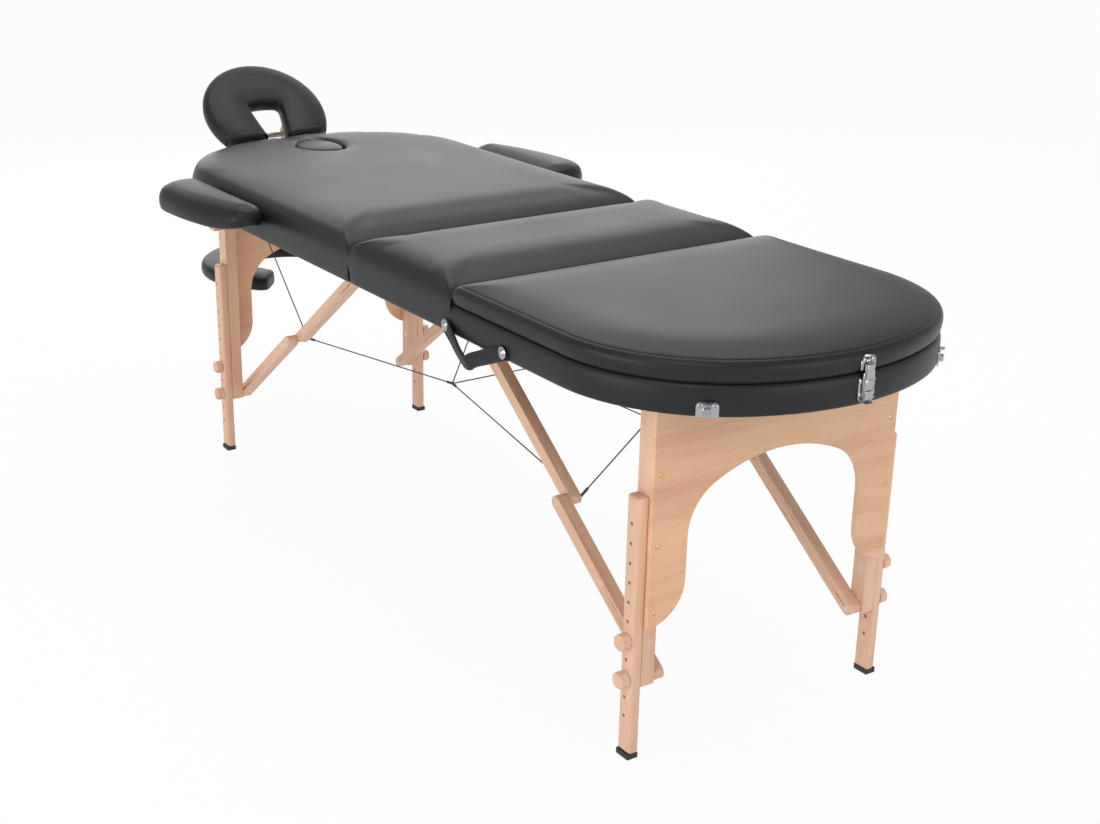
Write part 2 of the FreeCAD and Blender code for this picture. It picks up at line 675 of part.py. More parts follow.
def brace_bracket(tag, end, sign):
    middle = f"({end}) * brace_pivot_x"
    inner = f"{UPPER_Y} - brace_gap - bracket_width"
    ear = block(f"{tag}_bracket", (f"{middle} - bracket_length / 2", f"{middle} + bracket_length / 2"),
                mirrored(sign, inner, f"{UPPER_Y} - brace_gap"),
                (f"{PIVOT_Z} - brace_depth / 2", "rim_bottom + rim_height - deck_thickness"))
    pin = round_bar(f"{tag}_bracket_pin", "y", "brace_pin_radius",
                    mirrored(sign, inner, f"{UPPER_Y} + brace_width"), (middle, PIVOT_Z))
    return joined(f"{tag}_brace_bracket", [ear, pin])


def stay_pivot(tag, sign):
    wall = "half_width - rim_wall"
    ear = block(f"{tag}_stay_ear", ("stay_pivot_x - stay_depth / 2", "stay_pivot_x + stay_depth / 2"),
                mirrored(sign, "stay_y + stay_thickness + brace_gap", wall),
                (f"{STAY_Z} - stay_depth / 2", f"{STAY_Z} + stay_depth / 2"))
    pin = round_bar(f"{tag}_stay_pin", "y", "stay_pin_radius", mirrored(sign, "stay_y", wall),
                    ("stay_pivot_x", STAY_Z))
    return joined(f"{tag}_stay_pivot", [ear, pin])


for name, end in ENDS.items():
    room = rim_room(end, f"{name}_block_room", 0)
    blocks = []
    for side, sign in SIDES.items():
        tag = f"{name}_{side}"
        blocks += [leg_block(tag, end, sign, room), brace_bracket(tag, end, sign)]
        if name == "foot":
            blocks.append(stay_pivot(tag, sign))
    node(f"{name}_pivot_blocks", together(f"{name}_block_group", blocks))


# Knee braces: straight from the low pivot on the post to the bracket when the legs stand

def brace_bar(length):
    """A round-ended bar along X with its pivot hole at the origin and its knee hole at the far end."""
    side = Vector(0, s.brace_width, 0)
    low = Vector(0, 0, -s.brace_depth / 2)
    knee = Vector(length, 0, 0)
    bar = Part.makeBox(length, s.brace_width, s.brace_depth, low)
    for place in (Vector(), knee):
        bar = bar.fuse(Part.makeCylinder(s.brace_depth / 2, s.brace_width, place, side))
    bar = bar.removeSplitter()
    bar = bar.cut(Part.makeCylinder(s.brace_pin_radius + s.pin_play, s.brace_width, Vector(), side))
    return bar.cut(Part.makeCylinder(s.knee_bolt_radius, s.brace_width, knee, side))


def knee_bevel(length, down):
    """What is cut off an upper brace under its knee, so that it clears the panel as the legs fold."""
    reach = 4 * s.brace_depth
    low = s.knee_wood if down > 0 else -s.knee_wood - reach
    wedge = Part.makeBox(reach, s.brace_width, reach, Vector(-reach / 2, 0, low))
    wedge.rotate(Vector(), Vector(0, 1, 0), down * s.knee_bevel)
    wedge.translate(Vector(length, 0, 0))
    return wedge


def placed_brace(tag, bar, start, along, low_y, sign):
    """Put a bar on its pivot, turned about Y so that it runs along the given direction."""
    low = low_y if sign > 0 else -low_y - s.brace_width
    turn = Rotation(Vector(0, 1, 0), -math.degrees(math.atan2(along.z, along.x)))
    piece = solid(f"{tag}_bar", bar)
    piece.Placement = Placement(Vector(start.x, low, start.z), turn)
    return piece


for name, end in ENDS.items():
    low_pivot = Vector(end * s.leg_x, 0, s.brace_low_z)
    high_pivot = Vector(end * s.brace_pivot_x, 0, leg_pivot_z)
    rising = high_pivot - low_pivot
    lower_bar = brace_bar(lower_brace)
    upper_bar = brace_bar(upper_brace).cut(knee_bevel(upper_brace, -end))
    node(f"{name}_lower_braces", together(f"{name}_lower_pair", [
        placed_brace(f"{name}_{side}_lower", lower_bar, low_pivot, rising, lower_brace_y, sign)
        for side, sign in SIDES.items()]))
    node(f"{name}_upper_braces", together(f"{name}_upper_pair", [
        placed_brace(f"{name}_{side}_upper", upper_bar, high_pivot, rising * -1, upper_brace_y, sign)
        for side, sign in SIDES.items()]))


# Extension legs, rubber feet and clamping knobs

def extension_leg(end, sign):
    x0, x1 = end * s.leg_x - s.leg_depth / 2, end * s.leg_x + s.leg_depth / 2
    inner, outer = sign * (s.post_outer_y + s.leg_gap), sign * leg_outer_y
    soft = sign * s.leg_round
    bow = s.leg_round * (1 - math.sqrt(0.5))

    def at(x, y):
        return Vector(x, y, s.foot_height)

    profile = outline([
        at(x0, inner), at(x0, outer - soft),
        (at(x0 + bow, outer - sign * bow), at(x0 + s.leg_round, outer)), at(x1 - s.leg_round, outer),
        (at(x1 - bow, outer - sign * bow), at(x1, outer - soft)), at(x1, inner)])
    return plate(profile, Vector(0, 0, s.leg_top - s.foot_height))


def stud_slot(tag, end, sign):
    """The row of holes as one slot, so that the leg can slide past its studs."""
    middle = f"({end}) * leg_x"
    across = mirrored(sign, "post_outer_y", "post_outer_y + 2 * leg_gap + leg_width")
    low = "hole_top - hole_pitch * (hole_count - 1)"
    wide = "stud_radius + hole_play"
    return joined(f"{tag}_slot", [
        block(f"{tag}_slot_run", (f"{middle} - ({wide})", f"{middle} + {wide}"), across, (low, "hole_top")),
        round_bar(f"{tag}_slot_low", "y", wide, across, (middle, low)),
        round_bar(f"{tag}_slot_high", "y", wide, across, (middle, "hole_top"))])


def clamping_knob(end, sign, height):
    """Square knob with cut corners on its stud."""
    half = s.knob_size / 2
    short = half - s.knob_cut
    x = end * s.leg_x
    face = sign * (leg_outer_y + s.leg_gap)
    corners = [(half, short), (short, half), (-short, half), (-half, short),
               (-half, -short), (-short, -half), (short, -half), (half, -short)]
    grip = plate(outline([Vector(x + a, face, height + b) for a, b in corners]),
                 Vector(0, sign * s.knob_thickness, 0))
    reach = leg_outer_y + s.leg_gap - s.post_outer_y + s.stud_in_post
    stud = Part.makeCylinder(s.stud_radius, reach, Vector(x, face, height), Vector(0, -sign, 0))
    return grip.fuse(stud)


for name, end in ENDS.items():
    for side, sign in SIDES.items():
        tag = f"{name}_{side}"
        leg = solid(f"{tag}_leg_blank", extension_leg(end, sign))
        node(f"{tag}_leg", cut(f"{tag}_leg_body", leg, [stud_slot(tag, end, sign)]))
        foot_x = f"({end}) * leg_x"
        node(f"{tag}_foot", together(f"{tag}_foot_body", [block(
            f"{tag}_foot_block",
            (f"{foot_x} - leg_depth / 2 - foot_rim", f"{foot_x} + leg_depth / 2 + foot_rim"),
            mirrored(sign, "post_outer_y + leg_gap - foot_rim",
                     "post_outer_y + leg_gap + leg_width + foot_rim"),
            ("0", "foot_height"))]))
        for level, height in zip(("upper", "lower"), stud_heights):
            node(f"{tag}_{level}_knob", solid(f"{tag}_{level}_knob_body", clamping_knob(end, sign, height)))


# Cables: from each knee to the leg rail, to a junction below the fold, across and up to the fold

def cable(start, finish):
    run = finish - start
    return Part.makeCylinder(s.cable_radius, run.Length, start, run)


def cable_set(end):
    runs = []
    for sign in SIDES.values():
        knee = Vector(end * knee_x, sign * (upper_brace_y - s.cable_standoff), knee_z)
        rail_face = end * (s.leg_x - s.rail_depth / 2 - 2 * s.cable_radius)
        rail = Vector(rail_face, sign * s.cable_rail_y, leg_pivot_z - s.cable_rail_drop)
        meeting = Vector(s.junction_x, sign * s.junction_y, s.junction_z)
        toward = (meeting - knee).normalize() * (3 * s.cable_radius)
        upward = (rail - knee).normalize() * (3 * s.cable_radius)
        runs += [cable(knee + upward, rail), cable(knee + toward, meeting - toward)]
        if end < 0:
            apex = Vector(s.junction_x / 4, sign * 4 * s.cable_radius, hinge_z - s.knuckle_radius)
            lift = (apex - meeting).normalize() * (3 * s.cable_radius)
            runs.append(cable(meeting + lift, apex))
    if end < 0:
        gap = Vector(0, 3 * s.cable_radius, 0)
        ends = [Vector(s.junction_x, sign * s.junction_y, s.junction_z) for sign in (-1, 1)]
        runs.append(cable(ends[0] + gap, ends[1] - gap))
    return Part.makeCompound(runs)


for name, end in ENDS.items():
    node(f"{name}_cables", solid(f"{name}_cable_runs", cable_set(end)))


# Carry handle on the side of the foot half

def handle_strap():
    y = -(s.half_width + s.handle_gap + s.handle_thickness / 2)
    drop = s.handle_z - s.rivet_radius - s.handle_width / 2 - s.handle_gap
    low = s.handle_z - s.handle_sag
    points = [Vector(s.handle_first_x, y, drop), Vector(s.handle_low_x, y, low),
              Vector(s.handle_low_x + s.handle_low_run, y, low), Vector(s.handle_last_x, y, drop)]
    edges = []
    here = points[0]
    for before, corner, after in zip(points, points[1:], points[2:]):
        back = (before - corner).normalize()
        ahead = (after - corner).normalize()
        half_turn = (math.pi - back.getAngle(ahead)) / 2
        trim = s.handle_bend * math.tan(half_turn)
        leave, rejoin = corner + back * trim, corner + ahead * trim
        middle = corner + (back + ahead).normalize() * s.handle_bend * (1 / math.cos(half_turn) - 1)
        edges += [Part.LineSegment(here, leave).toShape(), Part.Arc(leave, middle, rejoin).toShape()]
        here = rejoin
    edges.append(Part.LineSegment(here, points[-1]).toShape())
    along = (points[1] - points[0]).normalize()
    across = Vector(0, 1, 0).cross(along) * (s.handle_width / 2)
    thick = Vector(0, s.handle_thickness / 2, 0)
    first = points[0]
    profile = outline([first + across + thick, first - across + thick,
                       first - across - thick, first + across - thick])
    return Part.Wire(edges).makePipeShell([profile], True, True)


node("handle_strap", solid("handle_strap_body", handle_strap()))
anchors = []
for number, place in enumerate(("handle_first_x", "handle_last_x")):
    anchors.append(round_bar(f"rivet{number}", "y", "rivet_radius",
                             ("-(half_width + handle_gap + handle_thickness)", "-half_width"),
                             (place, "handle_z")))
node("handle_rivets", together("handle_rivet_pair", anchors))

# Toggle latch at the tip and keeper plates beside it

LATCH_FACE = "half_length"
LATCH_Y = ("-latch_width / 2", "latch_width / 2")
LATCH_TOP = "rim_bottom + latch_base_low + latch_base_height"
node("latch_base", together("latch_base_body", [block(
    "latch_plate", (LATCH_FACE, f"{LATCH_FACE} + latch_sheet"), LATCH_Y,
    ("rim_bottom + latch_base_low", LATCH_TOP))]))
CATCH_LOW = "rim_bottom + rim_height + lid_gap + lid_board"
node("latch_catch", joined("latch_catch_body", [
    block("catch_plate", (LATCH_FACE, f"{LATCH_FACE} + latch_sheet"), LATCH_Y,
          (f"{CATCH_LOW} - lid_board / 2", f"{CATCH_LOW} - lid_board / 2 + catch_height")),
    block("catch_hook", (LATCH_FACE, f"{LATCH_FACE} + 3 * latch_sheet"),
          ("-lever_width / 4", "lever_width / 4"),
          (f"{CATCH_LOW} + lid_board / 2", f"{CATCH_LOW} + lid_board"))]))
LEVER_BACK = f"{LATCH_FACE} + latch_sheet + lever_gap"
LEVER_X = (LEVER_BACK, f"{LEVER_BACK} + lever_thickness")
LEVER_Y = ("-lever_width / 2", "lever_width / 2")
LEVER_LOW = f"{LATCH_TOP} - lever_length"
node("latch_lever", joined("latch_lever_body", [
    block("lever_bar", LEVER_X, LEVER_Y, (LEVER_LOW, LATCH_TOP)),
    round_bar("lever_end", "y", "lever_thickness / 2", LEVER_Y,
              (f"{LEVER_BACK} + lever_thickness / 2", LEVER_LOW))]))


def keeper(sign):
    """Plate and stud on the rounded corner of the rim."""
    swing = math.asin((s.keeper_y - corner_rise) / s.corner_radius)
    out = s.corner_radius
    low = s.rim_bottom + s.keeper_low
    flat = Part.makeBox(s.keeper_sheet, s.keeper_width, s.keeper_height,
                        Vector(out, -s.keeper_width / 2, low))
    stud_foot = Vector(out + s.keeper_sheet, 0, low + s.keeper_sheet + s.keeper_stud)
    stud = Part.makeCylinder(s.keeper_stud, s.keeper_stud_length, stud_foot, Vector(1, 0, 0))
    piece = flat.fuse(stud)
    piece.rotate(Vector(), Vector(0, 0, 1), sign * math.degrees(swing))
    piece.translate(Vector(corner_centre, sign * corner_rise, 0))
    return piece


node("keeper_plates", solid("keeper_pair", Part.makeCompound([keeper(sign) for sign in SIDES.values()])))


# Face rest: horseshoe cushion and board on a tilt bar, carried by two rods in the head rim

def rest_wire(inset, height):
    """Horseshoe outline in its own plane, open towards the table."""
    outer = s.rest_radius - inset
    low = -s.rest_arm_end + inset
    start = math.asin(low / outer)
    edge = math.sqrt(outer ** 2 - low ** 2)
    top = s.rest_open_top + inset
    wide, narrow = s.rest_open_wide + inset, s.rest_open_narrow + inset
    middle = (math.pi / 2 + start) / 2

    def at(x, y):
        return Vector(-y, x, height)

    def on_arc(angle, sign):
        return at(sign * outer * math.cos(angle), outer * math.sin(angle))

    return outline([at(edge, low), (on_arc(middle, 1), at(0, outer)), (on_arc(middle, -1), at(-edge, low)),
                    at(-narrow, low), at(-wide, top), at(wide, top), at(narrow, low)])


rest_place = Placement(Vector(-s.rest_x, 0, s.rest_z), Rotation(Vector(0, 1, 0), s.rest_tilt))
tilt_point = Vector(-s.tilt_x, 0, s.tilt_z)
tilt_local = rest_place.inverse().multVec(tilt_point)
board_low = -s.rest_thickness - s.rest_board


def rest_cushion():
    levels = pad_levels(-s.rest_thickness, s.rest_thickness - s.rest_crown, s.rest_crown, s.edge_roll / 2,
                        s.edge_roll / 2)
    body = stacked(rest_wire, levels)
    body.Placement = rest_place
    return body


def rest_board():
    """Board with two lugs that hang on the tilt bar."""
    body = plate(rest_wire(s.rest_board_inset, board_low), Vector(0, 0, s.rest_board))
    outer = s.tilt_bar_radius + s.rest_board
    for sign in SIDES.values():
        low_y = sign * s.rod_y - s.lug_width / 2
        lug = Part.makeBox(2 * outer, s.lug_width, board_low - tilt_local.z,
                           Vector(tilt_local.x - outer, low_y, tilt_local.z))
        eye_at = Vector(tilt_local.x, low_y, tilt_local.z)
        lug = lug.fuse(Part.makeCylinder(outer, s.lug_width, eye_at, Vector(0, 1, 0)))
        bore = Part.makeCylinder(s.tilt_bar_radius + s.pin_play, s.lug_width, eye_at, Vector(0, 1, 0))
        body = body.fuse(lug.removeSplitter().cut(bore))
    body.Placement = rest_place
    return body


node("face_rest_cushion", solid("face_rest_cushion_body", rest_cushion()))
node("face_rest_board", solid("face_rest_board_body", rest_board()))
ROD_Z = "rim_bottom + leg_pivot_rise"
BAR_END = "rod_y + lug_width / 2 + lug_gap + 2 * rod_radius"
rest_bars = [round_bar("tilt_bar", "y", "tilt_bar_radius", (f"-({BAR_END})", BAR_END), ("-tilt_x", "tilt_z")),
             block("rod_bridge", ("-(tilt_x + rod_radius)", "-(tilt_x - rod_radius)"),
                   (f"-({BAR_END})", BAR_END),
                   (f"{ROD_Z} - rod_radius", f"{ROD_Z} + rod_radius"))]
for side, sign in SIDES.items():
    rest_bars.append(round_bar(f"{side}_rod", "x", "rod_radius", ("-tilt_x", "-rod_inner_x"),
                               (f"({sign}) * rod_y", ROD_Z)))
    rest_bars.append(block(f"{side}_upright", ("-(tilt_x + rod_radius)", "-(tilt_x - rod_radius)"),
                           mirrored(sign, f"{BAR_END} - 2 * rod_radius", BAR_END), (ROD_Z, "tilt_z")))
node("face_rest_frame", joined("face_rest_frame_body", rest_bars))


# Armrests: tapered cushions on slats that slide in the head rim; one is the other turned round

def armrest_wire(sign, inset, z):
    """Straight edge at the table, round wide end, long curve to a narrow round end."""
    wide_x = s.arm_length / 2
    corner_x = wide_x - s.arm_round
    run = s.arm_length - s.arm_round - s.arm_tip
    curve = (run ** 2 / (s.arm_reach - 2 * s.arm_tip) + s.arm_reach) / 2
    curve_y = s.arm_reach - curve
    tip_x = corner_x - run
    lean = math.atan2(s.arm_tip - curve_y, -run)
    bow = (s.arm_round - inset) * math.sqrt(0.5)
    small, large = s.arm_tip - inset, curve - inset

    def at(x, y):
        return Vector(-s.arm_x + sign * x, sign * (s.half_width + s.arm_gap + y), z)

    def on_curve(angle):
        return at(corner_x + large * math.cos(angle), curve_y + large * math.sin(angle))

    def on_tip(angle):
        return at(tip_x + small * math.cos(angle), s.arm_tip + small * math.sin(angle))

    return outline([
        at(tip_x, inset), at(wide_x - inset, inset), at(wide_x - inset, s.arm_reach - s.arm_round),
        (at(corner_x + bow, s.arm_reach - s.arm_round + bow), at(corner_x, s.arm_reach - inset)),
        (on_curve((math.pi / 2 + lean) / 2), on_tip(lean)),
        (on_tip((lean + 1.5 * math.pi) / 2), at(tip_x, inset))])


def armrest_cushion(sign):
    levels = pad_levels(arm_low_z, s.arm_thickness, s.arm_crown, s.edge_roll / 2, s.edge_roll / 2)
    return stacked(lambda inset, z: armrest_wire(sign, inset, z), levels)


for side, sign in SIDES.items():
    node(f"{side}_armrest_cushion", solid(f"{side}_armrest_body", armrest_cushion(sign)))
    slats = [block(f"{side}_{which}_slat", (f"{x} - slat_width / 2", f"{x} + slat_width / 2"),
                   mirrored(sign, "half_width - slat_inside", "half_width + arm_gap + arm_reach - arm_tip"),
                   ("rim_bottom + arm_low - slat_thickness", "rim_bottom + arm_low"))
             for which, x in slat_places().items()]
    node(f"{side}_armrest_slats", together(f"{side}_slat_pair", slats))


# Arm shelf: open ring pad on straps that hang from the face-rest rods

def shelf_wire(inset, z):
    """Open ring whose mouth faces the table."""
    outer, inner = s.shelf_radius - inset, s.shelf_inner_radius + inset
    mouth = math.radians(s.shelf_opening) + inset / ((outer + inner) / 2)
    stops = [mouth + (2 * math.pi - 2 * mouth) * part / 6 for part in range(7)]

    def at(radius, angle):
        return Vector(-s.shelf_x + radius * math.cos(angle), radius * math.sin(angle), z)

    steps = [at(outer, stops[0])]
    steps += [(at(outer, stops[i + 1]), at(outer, stops[i + 2])) for i in (0, 2, 4)]
    steps.append(at(inner, stops[6]))
    steps += [(at(inner, stops[i - 1]), at(inner, stops[i - 2])) for i in (6, 4, 2)]
    return outline(steps)


def shelf_straps():
    """Four straps, each a slanting web with a loop round a rod."""
    straps = []
    rod_z = leg_pivot_z
    ring = s.rod_radius + s.strap_gap
    pad_z = s.shelf_z + s.shelf_thickness
    for sign in SIDES.values():
        for x in (-s.shelf_x - s.strap_width, -s.shelf_x - 2.5 * s.strap_width):
            loop_at = Vector(x, sign * s.rod_y, rod_z)
            wide = Vector(s.strap_width, 0, 0)
            loop = Part.makeCylinder(ring + s.strap_thickness, s.strap_width, loop_at, wide)
            low = Vector(x, sign * s.strap_pad_y, pad_z)
            high = Vector(x, sign * (s.rod_y + ring), rod_z)
            thick = Vector(0, sign * s.strap_thickness, 0)
            web = plate(outline([low, low + thick, high + thick, high]), wide)
            straps.append(loop.fuse(web).cut(Part.makeCylinder(ring, s.strap_width, loop_at, wide)))
    return Part.makeCompound(straps)


node("arm_shelf_pad", solid("arm_shelf_body", stacked(shelf_wire, pad_levels(
    s.shelf_z, s.shelf_thickness, 0, s.edge_roll / 2, s.edge_roll / 2)[:5])))
node("arm_shelf_straps", solid("arm_shelf_strap_set", shelf_straps()))

# Put the origin under the middle of the whole table, check every piece and write the files

doc.recompute()
box = FreeCAD.BoundBox()
for piece in nodes.values():
    box.add(piece.Shape.BoundBox)
shift = Vector(-box.Center.x, 0, 0)
for piece in nodes.values():
    piece.Placement = Placement(shift, Rotation()).multiply(piece.Placement)
doc.recompute()

for obj in doc.Objects:
    if "Invalid" in obj.State or "Error" in obj.State:
        raise RuntimeError(f"{obj.Label} failed: {obj.State}")
for label, piece in nodes.items():
    if piece.Shape.isNull() or not piece.Shape.isValid() or not piece.Shape.Solids:
        raise RuntimeError(f"{label} has no valid solid")

os.makedirs("parts", exist_ok=True)
for label, piece in nodes.items():
    piece.Shape.exportStep(f"parts/{label}.step")
print(f"{len(nodes)} pieces, fold line at x = {shift.x:.3f}")
print(f"knee at {knee_x:.2f} from the fold and {knee_z:.2f} high")
print(f"lower brace {lower_brace:.2f} long, upper brace {upper_brace:.2f} long")
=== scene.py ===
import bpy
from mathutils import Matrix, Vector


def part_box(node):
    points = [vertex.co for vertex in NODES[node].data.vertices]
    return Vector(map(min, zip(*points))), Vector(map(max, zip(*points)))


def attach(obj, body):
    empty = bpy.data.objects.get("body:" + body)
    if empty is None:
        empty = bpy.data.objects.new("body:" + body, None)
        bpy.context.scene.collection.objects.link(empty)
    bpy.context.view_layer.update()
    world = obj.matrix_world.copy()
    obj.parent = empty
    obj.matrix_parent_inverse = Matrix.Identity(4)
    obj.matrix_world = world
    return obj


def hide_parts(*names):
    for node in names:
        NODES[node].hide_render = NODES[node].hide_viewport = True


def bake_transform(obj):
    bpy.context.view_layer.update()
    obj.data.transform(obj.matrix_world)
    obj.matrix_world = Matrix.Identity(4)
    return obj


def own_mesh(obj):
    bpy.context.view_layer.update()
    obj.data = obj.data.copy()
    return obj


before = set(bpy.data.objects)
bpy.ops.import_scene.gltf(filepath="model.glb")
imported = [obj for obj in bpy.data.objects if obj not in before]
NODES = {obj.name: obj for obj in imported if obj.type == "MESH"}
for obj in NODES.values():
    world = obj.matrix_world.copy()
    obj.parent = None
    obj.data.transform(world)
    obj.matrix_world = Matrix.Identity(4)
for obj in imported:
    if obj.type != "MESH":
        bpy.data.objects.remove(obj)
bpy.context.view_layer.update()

import math
from collections import namedtuple

import bmesh
import bpy
import numpy as np
from mathutils import Matrix, Vector

# Folding massage table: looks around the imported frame. Metres; +X is the foot end, -Y the handle side.

ENDS = (("head", -1), ("foot", 1))
SIDES = (("front", -1), ("rear", 1))

# Places read from the frame; those along the table count from the fold line
FOLD_X = (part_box("head_rim")[1].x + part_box("foot_rim")[0].x) / 2
RIM_LOW, RIM_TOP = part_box("foot_rim")[0].z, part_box("foot_rim")[1].z
HALF_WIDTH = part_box("foot_rim")[1].y
HALF_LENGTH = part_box("foot_rim")[1].x - FOLD_X
CUSHION_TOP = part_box("middle_cushion")[1].z
SEAM_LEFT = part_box("middle_cushion")[1].x - FOLD_X
SEAM_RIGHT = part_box("foot_cushion")[0].x - FOLD_X
LID_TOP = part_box("foot_cushion")[0].z
FOLD_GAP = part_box("foot_rim")[0].x - FOLD_X
# The foot section's cover ends a little above the board's lower face
LID_PLAY = 0.0004
LID_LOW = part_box("lid_board")[0].z + LID_PLAY

# Plan and section of the upholstery
CORNER_RADIUS = 0.285
END_RADIUS = 0.425
RIM_WALL = 0.016
CROWN = 0.007
SEAM_PLAY = 0.0024
GRID = 0.012
# Distance within which points are one, and angle in degrees over which an edge is sharp
TOUCH, SMOOTH_ANGLE = 1e-5, 35

# Centres of the plan's arcs: the round end on the middle line, a corner at each side
END_CENTRE = HALF_LENGTH - END_RADIUS
CORNER_Y = HALF_WIDTH - CORNER_RADIUS
CORNER_X = END_CENTRE + math.sqrt((END_RADIUS - CORNER_RADIUS) ** 2 - CORNER_Y ** 2)


# Meshes

def new_object(name, points, faces, smooth=True):
    mesh = bpy.data.meshes.new(name)
    mesh.from_pydata([tuple(p) for p in points], [], [tuple(f) for f in faces])
    mesh.validate()
    mesh.update()
    if smooth:
        mesh.polygons.foreach_set("use_smooth", [True] * len(mesh.polygons))
    thing = bpy.data.objects.new(name, mesh)
    bpy.context.scene.collection.objects.link(thing)
    return thing


def outward(thing):
    shape = bmesh.new()
    shape.from_mesh(thing.data)
    bmesh.ops.recalc_face_normals(shape, faces=shape.faces)
    shape.to_mesh(thing.data)
    shape.free()
    return thing


def chain(*lines):
    return np.concatenate(lines)


def lifted(plan, height):
    """Points of a plan at one height."""
    return np.column_stack([plan, np.full(len(plan), height)])


def resample(points, count, measured=2):
    """count + 1 points evenly spaced along a line, by its first columns; every column is carried along."""
    steps = np.linalg.norm(np.diff(points[:, :measured], axis=0), axis=1)
    run = chain([0], np.cumsum(steps))
    wanted = np.linspace(0, run[-1], count + 1)
    return np.stack([np.interp(wanted, run, points[:, k]) for k in range(points.shape[1])], axis=1)


def oval(centre, halves, angles):
    return np.array(centre) + np.array(halves) * np.stack([np.cos(angles), np.sin(angles)], axis=1)


def arc(cx, cy, radius, first, last, count):
    return oval((cx, cy), radius, np.radians(np.linspace(first, last, count)))


def ring_of(sides, along, across):
    """Closed ring from four sides: two of along steps, each followed by one of across steps."""
    counts = (along, across, along, across)
    return chain(*[resample(side, count)[:-1] for side, count in zip(sides, counts)])


def patch(ring, along, across):
    """Grid that fills a ring of 2 * (along + across) points, its border being the ring."""
    total = len(ring)
    south = ring[:along + 1]
    east = ring[along:along + across + 1]
    north = ring[along + across:2 * along + across + 1][::-1]
    west = chain(ring[2 * along + across:], ring[:1])[::-1]
    u = np.linspace(0, 1, along + 1)[:, None, None]
    v = np.linspace(0, 1, across + 1)[None, :, None]
    grid = (1 - v) * south[:, None] + v * north[:, None] + (1 - u) * west[None] + u * east[None]
    grid = grid - ((1 - u) * (1 - v) * south[0] + u * (1 - v) * south[-1]
                   + (1 - u) * v * north[0] + u * v * north[-1])
    border = np.full((along + 1, across + 1), -1)
    border[:, 0] = np.arange(along + 1)
    border[along, :] = np.arange(along, along + across + 1)
    border[:, across] = np.arange(2 * along + across, along + across - 1, -1)
    border[0, :] = np.arange(total, 2 * along + across - 1, -1) % total
    return grid, border


def skin(rows, size, loop=False):
    """Faces between rings of points that follow each other, and back to the first in a loop."""
    faces = []
    for row in range(rows if loop else rows - 1):
        a, b = row * size, (row + 1) % rows * size
        faces += [(a + k, a + (k + 1) % size, b + (k + 1) % size, b + k) for k in range(size)]
    return faces


def loft(name, rings, caps=(), along=0, across=0, loop=False):
    """Object over rings of equal length; caps names the ends closed by a grid ("low", "high")."""
    size = len(rings[0])
    points = [p for ring in rings for p in ring]
    faces = skin(len(rings), size, loop)
    for cap in caps:
        level = 0 if cap == "low" else len(rings) - 1
        grid, border = patch(rings[level], along, across)
        index = np.where(border >= 0, border + level * size, -1)
        for i in range(along + 1):
            for j in range(across + 1):
                if index[i, j] < 0:
                    index[i, j] = len(points)
                    points.append(grid[i, j])
        for i in range(along):
            for j in range(across):
                face = (index[i, j], index[i + 1, j], index[i + 1, j + 1], index[i, j + 1])
                faces.append(face if cap == "high" else face[::-1])
    return outward(new_object(name, points, faces))


def crisp(thing, size, columns, levels):
    """Keep columns of a loft's rings sharp from the first ring up to a level."""
    crease = thing.data.attributes.new("crease_edge", "FLOAT", "EDGE")
    for edge in thing.data.edges:
        low, high = sorted(edge.vertices)
        if high - low == size and low % size in columns and high // size <= levels:
            crease.data[edge.index].value = 1.0
            edge.use_edge_sharp = True


def subdivided(thing, levels=1):
    modifier = thing.modifiers.new("rounding", "SUBSURF")
    modifier.levels = levels
    modifier.render_levels = levels


def coordinates(mesh):
    flat = np.zeros(len(mesh.vertices) * 3, np.float32)
    mesh.vertices.foreach_get("co", flat)
    return flat.reshape(-1, 3).astype(float)


def below(thing, height):
    """Marks the points of an object that lie lower than a height."""
    return coordinates(thing.data)[:, 2] < height


def evaluated(thing):
    return thing.evaluated_get(bpy.context.evaluated_depsgraph_get())


CLOTH = {"quality": 4, "mass": 0.4, "tension_stiffness": 15.0, "compression_stiffness": 15.0,
         "shear_stiffness": 5.0, "bending_stiffness": 2.0, "vertex_group_mass": "held",
         "use_pressure": True, "uniform_pressure_force": 3.0}
CLOTH_FRAMES = 20


def inflate(thing, held, limit):
    """Blow a cover up with a cloth simulation; held points stay, and no point moves past the limit."""
    group = thing.vertex_groups.new(name="held")
    group.add([int(i) for i in np.flatnonzero(held)], 1.0, "REPLACE")
    rest = coordinates(thing.data)
    modifier = thing.modifiers.new("cover", "CLOTH")
    for setting, value in CLOTH.items():
        setattr(modifier.settings, setting, value)
    modifier.settings.effector_weights.gravity = 0
    modifier.point_cache.frame_start = 1
    modifier.point_cache.frame_end = CLOTH_FRAMES
    scene = bpy.context.scene
    for step in range(1, CLOTH_FRAMES + 1):
        scene.frame_set(step)
    moved = coordinates(evaluated(thing).to_mesh()) - rest
    evaluated(thing).to_mesh_clear()
    length = np.linalg.norm(moved, axis=1, keepdims=True)
    moved *= np.minimum(1, limit / np.maximum(length, 1e-9))
    thing.modifiers.remove(modifier)
    thing.vertex_groups.remove(group)
    thing.data.vertices.foreach_set("co", (rest + moved).astype(np.float32).ravel())
    thing.data.update()
    scene.frame_set(1)


# Materials

WHITE, BLACK = (1, 1, 1), (0, 0, 0)
# Sockets of a colour mix node
MIX_SHARE, MIX_FIRST, MIX_SECOND, MIX_RESULT = 0, 6, 7, 2


def plug(tree, socket, value):
    """Feed a socket from a node's output, or set its value."""
    if isinstance(value, bpy.types.NodeSocket):
        tree.links.new(value, socket)
    else:
        socket.default_value = value


